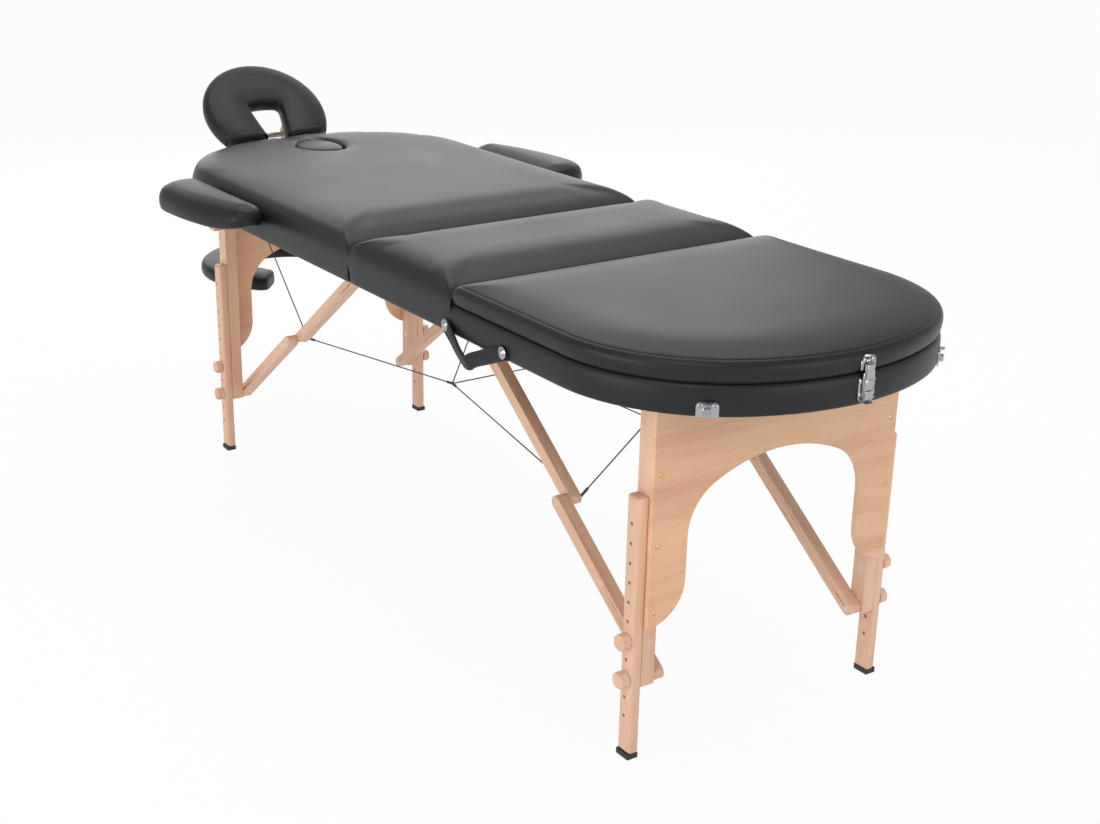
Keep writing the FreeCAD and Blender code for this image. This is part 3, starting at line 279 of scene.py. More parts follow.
def fill(tree, node, **values):
    """Fill a node's inputs by name, or set its properties where it has no such input."""
    for key, value in values.items():
        label = key.replace("_", " ").title()
        if label in node.inputs:
            plug(tree, node.inputs[label], value)
        else:
            setattr(node, key, value)
    return node


def add(tree, kind, **values):
    return fill(tree, tree.nodes.new(kind), **values)


def material(name, colour, roughness, metallic=0.0):
    made = bpy.data.materials.new(name)
    made.use_nodes = True
    tree = made.node_tree
    shader = tree.nodes["Principled BSDF"]
    fill(tree, shader, base_color=(*colour, 1), roughness=roughness, metallic=metallic)
    return made, tree, shader


def tint(colour, factor):
    return tuple(min(1, factor * c) for c in colour)


def placed(tree, stretch=(1, 1, 1), rotation=(0, 0, 0)):
    """Object coordinates of a pattern that is stretched along its own axes and then turned."""
    where = add(tree, "ShaderNodeTexCoord").outputs["Object"]
    mapping = add(tree, "ShaderNodeMapping", vector_type="TEXTURE", vector=where)
    fill(tree, mapping, rotation=rotation, scale=stretch)
    return mapping.outputs["Vector"]


def ramp(tree, source, stops):
    node = add(tree, "ShaderNodeValToRGB", fac=source)
    elements = node.color_ramp.elements
    while len(elements) < len(stops):
        elements.new(0.5)
    for element, (place, colour) in zip(elements, stops):
        element.position = place
        element.color = (*colour, 1)
    return node.outputs["Color"]


def remap(tree, source, low, high):
    return add(tree, "ShaderNodeMapRange", value=source, to_min=low, to_max=high).outputs["Result"]


def maths(tree, operation, first, second):
    node = add(tree, "ShaderNodeMath", operation=operation)
    plug(tree, node.inputs[0], first)
    plug(tree, node.inputs[1], second)
    return node.outputs["Value"]


def mixed(tree, blend, share, first, second):
    node = add(tree, "ShaderNodeMix", data_type="RGBA", blend_type=blend)
    for number, value in ((MIX_SHARE, share), (MIX_FIRST, first), (MIX_SECOND, second)):
        plug(tree, node.inputs[number], value)
    return node.outputs[MIX_RESULT]


def bumps(tree, shader, heights):
    """Chain of bumps, each (source, strength, distance)."""
    normal = None
    for source, strength, distance in heights:
        bump = add(tree, "ShaderNodeBump", strength=strength, distance=distance, height=source)
        if normal is not None:
            fill(tree, bump, normal=normal)
        normal = bump.outputs["Normal"]
    fill(tree, shader, normal=normal)


def noise_of(tree, vector, scale, detail, rough=0.5):
    node = add(tree, "ShaderNodeTexNoise", vector=vector, scale=scale, detail=detail, roughness=rough)
    return node.outputs["Fac"]


def bands_of(tree, vector, axis, scale, distortion):
    node = add(tree, "ShaderNodeTexWave", vector=vector, scale=scale, distortion=distortion)
    node.bands_direction = axis
    return node


def vinyl_material(name, colour, roughness=0.40):
    """Upholstery vinyl: fine pebble grain, cloudy sheen."""
    made, tree, shader = material(name, colour, roughness)
    shader.inputs["Specular IOR Level"].default_value = 0.26
    here = placed(tree)
    cells = add(tree, "ShaderNodeTexVoronoi", vector=here, scale=620.0, feature="SMOOTH_F1")
    pores = noise_of(tree, here, 900.0, 4.0)
    clouds = noise_of(tree, here, 5.0, 4.0)
    waves = noise_of(tree, here, 14.0, 2.0)
    shades = ramp(tree, clouds, [(0.3, tint(colour, 0.86)), (0.7, tint(colour, 1.16))])
    sheen = remap(tree, clouds, roughness - 0.05, roughness + 0.07)
    fill(tree, shader, base_color=shades, roughness=sheen)
    pebbles = cells.outputs["Distance"]
    bumps(tree, shader, [(waves, 0.05, 0.004), (pebbles, 0.16, 0.0004), (pores, 0.08, 0.0002)])
    return made


def wood_material(name, grain, pale, deep, fleck, tilt=0.0, plies=None):
    """Lacquered wood: grain along an axis, turned by tilt about Y; plies layers a board's edge."""
    made, tree, shader = material(name, pale, 0.42)

    def along(stretch):
        return placed(tree, tuple(stretch if axis == grain else 1.0 for axis in "xyz"), (0, tilt, 0))

    streaks = along(18.0)
    broad = noise_of(tree, streaks, 26.0, 4.0, 0.55)
    fine = noise_of(tree, streaks, 240.0, 4.0, 0.6)
    flecks = noise_of(tree, along(9.0), 620.0, 2.0, 0.5)
    base = ramp(tree, broad, [(0.28, deep), (0.52, pale), (0.8, tint(pale, 1.06))])
    pores = ramp(tree, fine, [(0.25, (0.82, 0.76, 0.70)), (0.6, WHITE)])
    spots = ramp(tree, flecks, [(0.66, BLACK), (0.80, (0.26, 0.26, 0.26))])
    colour = mixed(tree, "MULTIPLY", 0.55, base, pores)
    colour = mixed(tree, "MIX", spots, colour, (*fleck, 1))
    if plies:
        layers = fill(tree, bands_of(tree, placed(tree), "X", plies, 0.4), detail=1.0)
        edges = ramp(tree, layers.outputs["Fac"], [(0.3, (0.62, 0.5, 0.4)), (0.6, WHITE)])
        colour = mixed(tree, "MULTIPLY", 0.35, colour, edges)
    fill(tree, shader, base_color=colour, roughness=remap(tree, fine, 0.36, 0.5))
    fill(tree, shader, coat_weight=0.12, coat_roughness=0.3)
    bumps(tree, shader, [(fine, 0.06, 0.0003)])
    return made


def metal_material(name, colour, roughness, scratches=0.1):
    made, tree, shader = material(name, colour, roughness, 1.0)
    cloud = noise_of(tree, placed(tree), 60.0, 4.0)
    fine = noise_of(tree, placed(tree, (1, 1, 12)), 900.0, 3.0)
    fill(tree, shader, roughness=remap(tree, cloud, roughness * 0.7, roughness * 1.5))
    bumps(tree, shader, [(fine, scratches, 0.0002)])
    return made


def rubber_material(name, colour, roughness=0.7):
    made, tree, shader = material(name, colour, roughness)
    here = placed(tree)
    fine = noise_of(tree, here, 700.0, 4.0)
    cloud = noise_of(tree, here, 40.0, 3.0)
    shades = ramp(tree, cloud, [(0.3, tint(colour, 0.8)), (0.7, tint(colour, 1.4))])
    fill(tree, shader, base_color=shades, roughness=remap(tree, cloud, roughness - 0.1, roughness + 0.1))
    bumps(tree, shader, [(fine, 0.25, 0.0003)])
    return made


def webbing_material(name, colour):
    made, tree, shader = material(name, colour, 0.75)
    here = placed(tree)
    weave = bands_of(tree, here, "Z", 260.0, 0.2).outputs["Fac"]
    cross = bands_of(tree, here, "X", 190.0, 0.2).outputs["Fac"]
    both = maths(tree, "MULTIPLY", weave, cross)
    shades = ramp(tree, both, [(0.1, tint(colour, 0.6)), (0.8, tint(colour, 1.5))])
    fill(tree, shader, base_color=shades, sheen_weight=0.2)
    bumps(tree, shader, [(both, 0.5, 0.0004)])
    return made


BEECH_PALE = (0.73, 0.46, 0.315)
BEECH_DEEP = (0.62, 0.36, 0.235)
BEECH_FLECK = (0.50, 0.27, 0.16)
BEECH_COLOURS = BEECH_PALE, BEECH_DEEP, BEECH_FLECK
VINYL = vinyl_material("vinyl", (0.0112, 0.0112, 0.0142))
VINYL_DARK = vinyl_material("vinyl_dark", (0.0082, 0.0086, 0.0104), 0.46)
BEECH = {axis: wood_material(f"beech_{axis}", axis, *BEECH_COLOURS) for axis in "xyz"}
BRACE_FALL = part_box("foot_upper_braces")[1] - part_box("foot_upper_braces")[0]
BRACE_TILT = math.atan2(BRACE_FALL.z, BRACE_FALL.x)
BRACE_BEECH = {end: wood_material(f"beech_{end}_brace", "x", *BEECH_COLOURS, mirror * BRACE_TILT)
               for end, mirror in ENDS}
PLYWOOD = wood_material("panel_ply", "y", (0.84, 0.53, 0.335), (0.74, 0.43, 0.26), BEECH_FLECK, plies=520.0)
DECK_PLY = wood_material("deck_ply", "x", (0.62, 0.43, 0.28), (0.50, 0.33, 0.20), BEECH_FLECK)
STEEL = metal_material("steel", (0.56, 0.56, 0.57), 0.32)
CHROME = metal_material("chrome", (0.40, 0.40, 0.42), 0.15, 0.04)
BRASS = metal_material("brass", (0.62, 0.42, 0.17), 0.28)
RUBBER = rubber_material("rubber", (0.022, 0.022, 0.023))
CABLE = rubber_material("cable_coat", (0.030, 0.032, 0.036), 0.45)
WEBBING = webbing_material("webbing", (0.022, 0.022, 0.024))
THREAD = webbing_material("thread", (0.050, 0.050, 0.054))


def finish_with(thing, finish):
    thing.data.materials.clear()
    thing.data.materials.append(finish)


def upholstered(thing, held, limit, levels):
    """Swell a cover, round it and dress it in vinyl."""
    inflate(thing, held, limit)
    subdivided(thing, levels)
    finish_with(thing, VINYL)


# Upholstered table top

# One level of a cover: inset and height at the long sides and the round end, the same at the seams,
# and the plan radius of the corners between them
Section = namedtuple("Section", "inset height seam_inset seam_height corner")
# Points on the arcs of the plan: beside a seam, both parts of a side corner, half the round end
SEAM_POINTS, CORNER_POINTS, TURN_POINTS, END_POINTS = 9, 16, 10, 24


def seam_corner(first, width, level, start, stop):
    """Quarter round between a seam and the long side at -Y; angles from 180 at the seam to 270."""
    plan = arc(first + level.corner, level.corner - width, level.corner, start, stop, SEAM_POINTS)
    share = (np.linspace(start, stop, SEAM_POINTS) - 180) / 90
    return np.column_stack([plan, level.seam_height + (level.height - level.seam_height) * share])


def flipped(points):
    """The same line mirrored in Y and run backwards."""
    return (points * [1, -1, 1])[::-1]


def round_end_ring(level, start, along, across):
    """Outline of a half or of the foot section: a seam at start, long sides and the rounded end at +X."""
    first, width = start + level.seam_inset, HALF_WIDTH - level.inset
    meet = math.degrees(math.atan2(CORNER_Y, CORNER_X - END_CENTRE))
    half = (90 + meet) / 2
    radius = CORNER_RADIUS - level.inset
    corner = arc(CORNER_X, -CORNER_Y, radius, -90, -half, CORNER_POINTS)
    south = chain(seam_corner(first, width, level, 225, 270), lifted(corner, level.height))
    turn = chain(arc(CORNER_X, -CORNER_Y, radius, -half, -meet, TURN_POINTS),
                 arc(END_CENTRE, 0, END_RADIUS - level.inset, -meet, 0, END_POINTS)[1:])
    turn = lifted(turn, level.height)
    east = chain(turn, flipped(turn)[1:])
    seam = seam_corner(first, width, level, 180, 225)
    west = chain(flipped(seam), seam)
    return ring_of([south, east, flipped(south), west], along, across)


def box_ring(level, start, stop, along, across):
    """Outline of the middle cushion: a seam at each end."""
    first, width = start + level.seam_inset, HALF_WIDTH - level.inset

    def far_end(line):
        return (line * [-1, 1, 1] + [start + stop, 0, 0])[::-1]

    lower = seam_corner(first, width, level, 225, 270)
    seam = seam_corner(first, width, level, 180, 225)
    south = chain(lower, far_end(lower))
    east = chain(far_end(seam), flipped(far_end(seam)))
    west = chain(flipped(seam), seam)
    return ring_of([south, east, flipped(south), west], along, across)


def shifted(ring, mirror=1):
    """From the fold line's own frame into the part's; mirror -1 turns the foot half into the head half."""
    return ring * [mirror, 1, 1] + [FOLD_X, 0, 0]


def steps_of(length):
    """Steps of the grid along a cushion of this length, and across the table."""
    return round(length / GRID), round(2 * HALF_WIDTH / GRID)


def round_end_rings(rows, start, along, across, mirror=1):
    return [shifted(round_end_ring(level, start, along, across), mirror) for level in rows]


def section_rows(base, *rows):
    """Levels of a cover from the bottom up, with heights counted from a base."""
    return [Section(inset, base + height, seam_inset, base + seam_height, corner)
            for inset, height, seam_inset, seam_height, corner in rows]


EDGE = CUSHION_TOP - CROWN
ROLL = section_rows(
    EDGE,
    (0.0010, -0.0200, 0.0035, -0.0260, 0.003),
    (0.0050, -0.0105, 0.0120, -0.0150, 0.008),
    (0.0125, -0.0035, 0.0290, -0.0060, 0.018),
    (0.0250, 0.0008, 0.0500, 0.0004, 0.028),
    (0.0440, 0.0038, 0.0750, 0.0038, 0.036),
    (0.0720, 0.0060, 0.1000, 0.0060, 0.042),
    (0.1050, CROWN, 0.1250, CROWN, 0.048))
WRAP = section_rows(
    RIM_LOW,
    (RIM_WALL, 0.002, RIM_WALL, 0.002, 0.004),
    (RIM_WALL - 0.002, 0, RIM_WALL - 0.002, 0, 0.004),
    (0.004, 0, 0.003, 0, 0.004),
    (0.0012, 0.0012, 0.0004, 0.0014, 0.004),
    (-0.0002, 0.005, 0, 0.005, 0.004))
HEAD_SIDE = section_rows(
    RIM_TOP,
    (RIM_WALL, 0, RIM_WALL, 0, 0.004),
    (RIM_WALL, -0.003, RIM_WALL, -0.003, 0.004)) + WRAP
HEAD_SIDE += section_rows(
    RIM_LOW,
    (-0.0012, 0.018, -FOLD_GAP, 0.018, 0.0005),
    (-0.0018, 0.036, -FOLD_GAP, 0.036, 0.0005))
HEAD_SIDE += section_rows(
    RIM_TOP,
    (-0.0020, 0.002, -FOLD_GAP, -0.002, 0.0005),
    (-0.0014, 0.014, 0, 0.010, 0.001))
RIM_HEIGHT = RIM_TOP - RIM_LOW
MIDDLE_SIDE = section_rows(
    RIM_TOP,
    (0.003, 0.001, 0.012, 0.001, 0.004),
    (-0.0003, 0.002 - RIM_HEIGHT, 0.010, 0.001, 0.004),
    (-0.0008, 0.003 - RIM_HEIGHT, 0.003, 0.001, 0.001),
    (-0.0014, 0.018 - RIM_HEIGHT, -FOLD_GAP, 0.002, 0.0005),
    (-0.0020, 0.036 - RIM_HEIGHT, -FOLD_GAP, 0.003, 0.0005),
    (-0.0021, 0.002, -FOLD_GAP, 0.005, 0.0005),
    (-0.0014, 0.014, 0, 0.010, 0.001))
FOOT_BAND = section_rows(
    LID_LOW,
    (0.0060, 0, 0.0060, 0, 0.006),
    (0.0028, 0.0003, 0.0030, 0.0003, 0.005),
    (0.0010, 0.0028, 0.0010, 0.0030, 0.004))
FOOT_BAND += section_rows(
    LID_TOP,
    (-0.0008, 0.0030, 0.0004, 0.0020, 0.004),
    (-0.0018, 0.0110, 0.0002, 0.0090, 0.004),
    (-0.0014, 0.0180, 0.0008, 0.0155, 0.004),
    (0.0012, 0.0235, 0.0030, 0.0210, 0.006),
    (0.0056, 0.0272, 0.0058, 0.0245, 0.008),
    (0.0074, 0.0268, 0.0070, 0.0248, 0.009),
    (0.0084, 0.0274, 0.0080, 0.0254, 0.010),
    (0.0096, 0.0292, 0.0095, 0.0268, 0.011))
FOOT_ROLL = section_rows(
    EDGE,
    (0.0165, -0.0012, 0.0180, -0.0040, 0.016),
    (0.0270, 0.0030, 0.0320, 0.0004, 0.024),
    (0.0400, 0.0054, 0.0520, 0.0044, 0.032),
    (0.0660, 0.0065, 0.0800, 0.0063, 0.040),
    (0.1050, CROWN, 0.1150, CROWN, 0.048))
FOOT_RIM = section_rows(RIM_LOW, (RIM_WALL, 0.044, RIM_WALL, 0.044, 0.004)) + WRAP
FOOT_RIM += section_rows(
    RIM_LOW,
    (-0.0012, 0.018, 0, 0.018, 0.005),
    (-0.0018, 0.030, 0, 0.030, 0.005),
    (-0.0008, 0.042, 0, 0.042, 0.005))
FOOT_RIM += section_rows(
    RIM_TOP,
    (0.0010, -0.0030, 0.0005, -0.003, 0.005),
    (0.0050, 0, 0.004, 0, 0.005),
    (RIM_WALL - 0.002, 0, RIM_WALL - 0.002, 0, 0.004),
    (RIM_WALL, -0.002, RIM_WALL, -0.002, 0.004))
# Edge of the face hole from the top down: (room round the plug, height)
HOLE_EDGE = [(0.0145, CUSHION_TOP), (0.0065, CUSHION_TOP - 0.0012), (0.0020, CUSHION_TOP - 0.005),
             (0.0005, CUSHION_TOP - 0.012), (0.0005, RIM_TOP)]
HOLE_STEPS = 44
# Heights up to which a cover is held while it swells, and how far it may swell
HELD_TOP, SWELL = RIM_TOP + 0.01, 0.004
FOOT_HELD_TOP, FOOT_SWELL = LID_TOP + 0.031, 0.0018


def face_hole(points, grow, height):
    """Ray from the middle of the face hole to each point, cut at the hole's own outline."""
    low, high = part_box("face_plug")
    centre = np.array((low + high) / 2)[:2]
    halves = np.array((high - low) / 2)[:2] + grow
    away = (points[:, :2] - centre) / halves
    return lifted(oval(centre, halves, np.arctan2(away[:, 1], away[:, 0])), height)


def head_cover():
    """Head half: rim and cushion under one vinyl cover, with the face hole."""
    along, across = steps_of(HALF_LENGTH)
    rings = round_end_rings(HEAD_SIDE + ROLL, FOLD_GAP, along, across, -1)
    outer = rings[-1]
    inner = [face_hole(outer, grow, height) for grow, height in HOLE_EDGE]
    rings += [outer + (inner[0] - outer) * (step / HOLE_STEPS) for step in range(1, HOLE_STEPS)] + inner
    cover = loft("head_cover", rings, loop=True)
    crisp(cover, len(outer), (0, 2 * along + across), len(HEAD_SIDE) - 1)
    upholstered(cover, below(cover, HELD_TOP), SWELL, 1)
    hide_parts("head_rim", "head_cushion")
    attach(cover, "head_half")


def middle_cover():
    """Middle cushion with its side carried down over the rim."""
    along, across = steps_of(SEAM_LEFT)
    rings = [shifted(box_ring(level, FOLD_GAP, SEAM_LEFT + SEAM_PLAY, along, across))
             for level in MIDDLE_SIDE + ROLL]
    cover = loft("middle_cover", rings, ("low", "high"), along, across)
    corners = (0, along, along + across, 2 * along + across)
    crisp(cover, len(rings[0]), corners, len(MIDDLE_SIDE) - 1)
    upholstered(cover, below(cover, HELD_TOP), SWELL, 1)
    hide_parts("middle_cushion")
    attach(cover, "foot_half")


def foot_cover():
    """Cushion of the lifting foot section: top panel, seam, side band tucked under."""
    along, across = steps_of(HALF_LENGTH - SEAM_RIGHT)
    rings = round_end_rings(FOOT_BAND + FOOT_ROLL, SEAM_RIGHT - SEAM_PLAY, along, across)
    cover = loft("foot_cover", rings, ("low", "high"), along, across)
    upholstered(cover, below(cover, FOOT_HELD_TOP), FOOT_SWELL, 1)
    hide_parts("foot_cushion")
    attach(cover, "foot_section")


def foot_rim_cover():
    """Rim of the foot half, wrapped in vinyl all round."""
    rings = round_end_rings(FOOT_RIM, FOLD_GAP, *steps_of(HALF_LENGTH))
    cover = loft("foot_rim_cover", rings, loop=True)
    subdivided(cover)
    finish_with(cover, VINYL)
    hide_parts("foot_rim")
    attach(cover, "foot_half")


head_cover()
middle_cover()
foot_cover()
foot_rim_cover()


# Finishes of the frame's own pieces

def softened(thing, width):
    """Round the sharp edges of a frame piece with modifiers."""
    weld = thing.modifiers.new("joined_edges", "WELD")
    weld.merge_threshold = TOUCH
    bevel = thing.modifiers.new("soft_edges", "BEVEL")
    bevel.width = width
    bevel.segments = 2
    bevel.limit_method = "ANGLE"
    bevel.angle_limit = math.radians(40)
    bevel.harden_normals = False


# (ends of the nodes' names, finish, slot, width of the soft edges)
FINISHES = [
    (("_posts",), BEECH["z"], "beech", 0.0015),
    (("_panel",), PLYWOOD, "plywood", 0.0010),
    (("head_upper_braces", "head_lower_braces"), BRACE_BEECH["head"], "beech", 0.0015),
    (("foot_upper_braces", "foot_lower_braces"), BRACE_BEECH["foot"], "beech", 0.0015),
    (("_knob", "_pivot_blocks"), BEECH["x"], "beech", 0.0012),
    (("_slats", "_leg_rail"), BEECH["y"], "beech", 0.0015),
    (("_deck", "face_rest_board"), DECK_PLY, "plywood", 0.0008),
    (("_foot",), RUBBER, "rubber", 0.0012),
    (("lid_board",), VINYL_DARK, "vinyl", 0.0008),
    (("hinge_leaves", "hinge_pins", "lid_stays", "face_rest_frame"), STEEL, "steel", 0.0)]


def dress():
    """Finish and soft edges of the frame pieces that still show."""
    for endings, finish, slot, edge in FINISHES:
        for name, thing in NODES.items():
            if name.endswith(endings):
                finish_with(thing, finish)
                if edge:
                    softened(thing, edge)


dress()


# Raw meshes: (points, faces) pairs that several pieces share

ALL_SMOOTH = 180
# Sides of a screw head, a bolt and a rivet
SCREW_SIDES, BOLT_SIDES, RIVET_SIDES = 18, 20, 28
PATH_STEPS = 12
# Share of a strap's thickness that its edges slope over, steps round a rounded edge, angle of a sharp one
STRAP_EDGE, ROUND_STEPS, SHARP_ANGLE = 0.3, 5, 0.6


def joined(raws):
    points, faces = [], []
    for some, their in raws:
        start = len(points)
        points += some
        faces += [tuple(i + start for i in face) for face in their]
    return points, faces


def piece(name, raws, finish, body, smooth_angle=SMOOTH_ANGLE):
    """One object from raw meshes, dressed and riding on its body, if it has one."""
    thing = outward(new_object(name, *joined(raws)))
    thing.data.set_sharp_from_angle(angle=math.radians(smooth_angle))
    finish_with(thing, finish)
    if body:
        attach(thing, body)
    return thing


def circle(radius, count):
    angles = [2 * math.pi * k / count for k in range(count)]
    return [(radius * math.cos(a), radius * math.sin(a)) for a in angles]


def facing(direction):
    return Vector(direction).normalized().to_track_quat("Z", "Y").to_matrix()


def headings(path):
    """Points of a path, each with the direction of the path there."""
    path = [Vector(p) for p in path]
    trios = zip(path[:1] + path, path, path[1:] + path[-1:])
    return [(here, (after - before).normalized()) for before, here, after in trios]


def swept(rings):
    """Raw mesh over rings of equal length, closed at both ends."""
    size = len(rings[0])
    last = size * (len(rings) - 1)
    ends = [tuple(range(size))[::-1], tuple(range(last, last + size))]
    return [p for ring in rings for p in ring], skin(len(rings), size) + ends


def turned(profile, place, axis, count=BOLT_SIDES):
    """Lathe: profile rows are (radius, height along the axis)."""
    turn, place = facing(axis), Vector(place)
    return swept([[place + turn @ Vector((x, y, height)) for x, y in circle(radius, count)]
                  for radius, height in profile])


def tube(path, radius, sides=10):
    """Round bar along straight runs."""
    return swept([[here + facing(ahead) @ Vector((x, y, 0)) for x, y in circle(radius, sides)]
                  for here, ahead in headings(path)])


def ribbon(path, across, width, thickness):
    """Flat strap along a path; across gives the direction of its width at each point."""
    half, deep = width / 2, thickness / 2
    flat = half - STRAP_EDGE * thickness
    section = [(-flat, -deep), (flat, -deep), (half, 0), (flat, deep), (-flat, deep), (-half, 0)]
    rings = []
    for (here, ahead), wide in zip(headings(path), across):
        wide = (wide - ahead * wide.dot(ahead)).normalized()
        thick = ahead.cross(wide)
        rings.append([here + wide * u + thick * v for u, v in section])
    return swept(rings)


def smooth_path(points, count):
    """Evenly spread points on a smooth line through given ones."""
    points = np.asarray(points, float)
    ends = chain([2 * points[0] - points[1]], points, [2 * points[-1] - points[-2]])
    line = []
    for k in range(len(points) - 1):
        a, b, c, d = ends[k:k + 4]
        for share in np.linspace(0, 1, PATH_STEPS, endpoint=k == len(points) - 2):
            line.append(0.5 * (2 * b + (c - a) * share + (2 * a - 5 * b + 4 * c - d) * share ** 2
                               + (3 * b - 3 * c + d - a) * share ** 3))
    return resample(np.array(line), count - 1, 3)


def beveled(low, high, width, segments=2, rounded=()):
    """Box with softened edges; rounded lists (test of an edge's points, radius) of rounder edges."""
    shape = bmesh.new()
    bmesh.ops.create_cube(shape, size=1)
    for vertex in shape.verts:
        vertex.co = [low[k] if vertex.co[k] < 0 else high[k] for k in range(3)]
    for test, radius in rounded:
        edges = [e for e in shape.edges if all(test(v.co) for v in e.verts)]
        bmesh.ops.bevel(shape, geom=edges, offset=radius, segments=ROUND_STEPS, affect="EDGES", profile=0.5)
    sharp = [e for e in shape.edges if e.calc_face_angle(0) > SHARP_ANGLE]
    bmesh.ops.bevel(shape, geom=sharp, offset=width, segments=segments, affect="EDGES", profile=0.5)
    shape.verts.index_update()
    raw = [v.co.copy() for v in shape.verts], [tuple(v.index for v in f.verts) for f in shape.faces]
    shape.free()
    return raw


def round_corners(axis, half, rows):
    """Tests for beveled: a plate's corners at half its size along an axis; rows are (height, radius)."""
    def at(level):
        return lambda co: abs(co.z - level) < TOUCH and abs(abs(co[axis]) - half) < TOUCH

    return [(at(level), radius) for level, radius in rows]


def block(x, half, z, width, segments, corners=()):
    """Softened box across the middle line, from x[0], z[0] to x[1], z[1]."""
    return beveled((x[0], -half, z[0]), (x[1], half, z[1]), width, segments, round_corners(1, half, corners))


def drilled(thing, holes):
    """Cut raw meshes out of an object."""
    cutter = outward(new_object("cutter", *joined(holes)))
    modifier = thing.modifiers.new("holes", "BOOLEAN")
    modifier.object = cutter
    modifier.solver = "EXACT"
    cut = bpy.data.meshes.new_from_object(evaluated(thing))
    thing.modifiers.remove(modifier)
    thing.data = cut
    bpy.data.objects.remove(cutter)


# Pads of the accessories

# Round end of a band: (reach along it, share of its section)
BAND_CAP = [(0.0, 1.0), (0.009, 0.97), (0.016, 0.88), (0.0205, 0.74), (0.022, 0.55)]
BAND_HELD, BAND_SWELL, BAND_STEPS = 0.3, 0.003, 60


def band_section(top, crown, inner_roll, outer_roll):
    """Section of a band from its inner to its outer edge: (share of its width, inset, height)."""
    def edge(roll):
        return [(0.006, 0), (0.001, 0.002), (-0.002, 0.35 * top), (-0.0015, 0.62 * top),
                (0.15 * roll, 0.84 * top), (0.5 * roll, 0.96 * top), (roll, top + 0.1 * crown)]

    crest = [(0.3, 0, top + 0.85 * crown), (0.5, 0, top + crown), (0.7, 0, top + 0.85 * crown)]
    inner = [(0, inset, height) for inset, height in edge(inner_roll)]
    outer = [(1, -inset, height) for inset, height in edge(outer_roll)]
    return inner + crest + outer[::-1]


def band_pad(name, inner, outer, place, thickness, crown, inner_roll, outer_roll):
    """Padded band between two lines of equal length in its own plane, round-ended, carried by a matrix."""
    centre = (inner + outer) / 2
    back = BAND_CAP[-1][0]

    def cap(first, second):
        ahead = centre[first] - centre[second]
        ahead /= np.linalg.norm(ahead)
        return [(inner[first] + ahead * (reach - back), outer[first] + ahead * (reach - back), share)
                for reach, share in BAND_CAP]

    row = cap(0, 1)[::-1] + [(a, b, 1.0) for a, b in zip(inner[1:-1], outer[1:-1])] + cap(-1, -2)
    top = thickness - crown
    hold = BAND_HELD * top
    section = band_section(top, crown, inner_roll, outer_roll)
    rings = []
    for near, far, share in row:
        wide = far - near
        step = wide / np.linalg.norm(wide)
        middle = (near + far) / 2
        ring = []
        for fraction, inset, height in section:
            plan = middle + (near + wide * fraction + step * inset - middle) * share
            level = height if height < hold else hold + (height - hold) * share
            ring.append(place @ Vector((*plan, level)))
        rings.append(ring)
    pad = outward(new_object(name, *swept(rings)))
    held = [height < hold for fraction, inset, height in section] * len(row)
    upholstered(pad, held, BAND_SWELL, 2)
    return pad


REST_REACH, REST_HEIGHT, REST_TILT = 0.088, 0.770, 38.0
REST_RADIUS, REST_THICKNESS, REST_CROWN, REST_ROLLS = 0.157, 0.046, 0.008, (0.009, 0.015)
REST_ARM_END, REST_OPEN_TOP, REST_OPEN_HALF, REST_OPEN_NARROW = 0.092, 0.022, 0.044, 0.026
REST_OPEN_BEND, REST_OPEN_STEP, REST_OPEN_ARCH = 0.012, 0.003, 0.004


def face_rest():
    """Horseshoe cushion, open towards the table."""
    start = math.degrees(math.asin(-REST_ARM_END / REST_RADIUS))
    outer = arc(0, 0, REST_RADIUS, start, 180 - start, BAND_STEPS + 1)
    bend_y = REST_OPEN_TOP - REST_OPEN_BEND
    side = [(REST_OPEN_NARROW, -REST_ARM_END), (REST_OPEN_HALF, bend_y - REST_OPEN_STEP)]
    bend = arc(REST_OPEN_HALF - REST_OPEN_BEND, bend_y, REST_OPEN_BEND, 0, 90, 6)
    half = chain(side, bend)
    over = [(0, REST_OPEN_TOP + REST_OPEN_ARCH)]
    inner = resample(chain(half, over, (half * [-1, 1])[::-1]), BAND_STEPS)
    flat = [np.column_stack([-line[:, 1], line[:, 0]]) for line in (inner, outer)]
    place = (Matrix.Translation((FOLD_X - HALF_LENGTH - REST_REACH, 0, REST_HEIGHT))
             @ Matrix.Rotation(math.radians(REST_TILT), 4, "Y")
             @ Matrix.Translation((0, 0, -REST_THICKNESS)))
    pad = band_pad("face_rest_pad", *flat, place, REST_THICKNESS, REST_CROWN, *REST_ROLLS)
    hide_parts("face_rest_cushion")
    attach(pad, "face_rest")


SHELF_RADIUS, SHELF_INNER, SHELF_MOUTH = 0.212, 0.112, 38.0
SHELF_CROWN, SHELF_ROLL = 0.004, 0.013


def arm_shelf():
    """Open ring pad under the face rest, its mouth towards the table."""
    low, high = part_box("arm_shelf_pad")
    inner, outer = [arc(0, 0, radius, SHELF_MOUTH, 360 - SHELF_MOUTH, BAND_STEPS + 1)
                    for radius in (SHELF_INNER, SHELF_RADIUS)]
    place = Matrix.Translation((low.x + SHELF_RADIUS, 0, low.z))
    pad = band_pad("arm_shelf_cushion", inner, outer, place, high.z - low.z, SHELF_CROWN,
                   SHELF_ROLL, SHELF_ROLL)
    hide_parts("arm_shelf_pad")
    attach(pad, "arm_shelf")


ARM_REACH, ARM_ROUND, ARM_TIP, ARM_CROWN = 0.118, 0.072, 0.038, 0.005
ARM_INNER, ARM_RISE, ARM_RISE_FROM = 0.034, 0.014, 0.72
ARM_HELD, ARM_SWELL, ARM_STEPS = 0.010, 0.006, (30, 12)


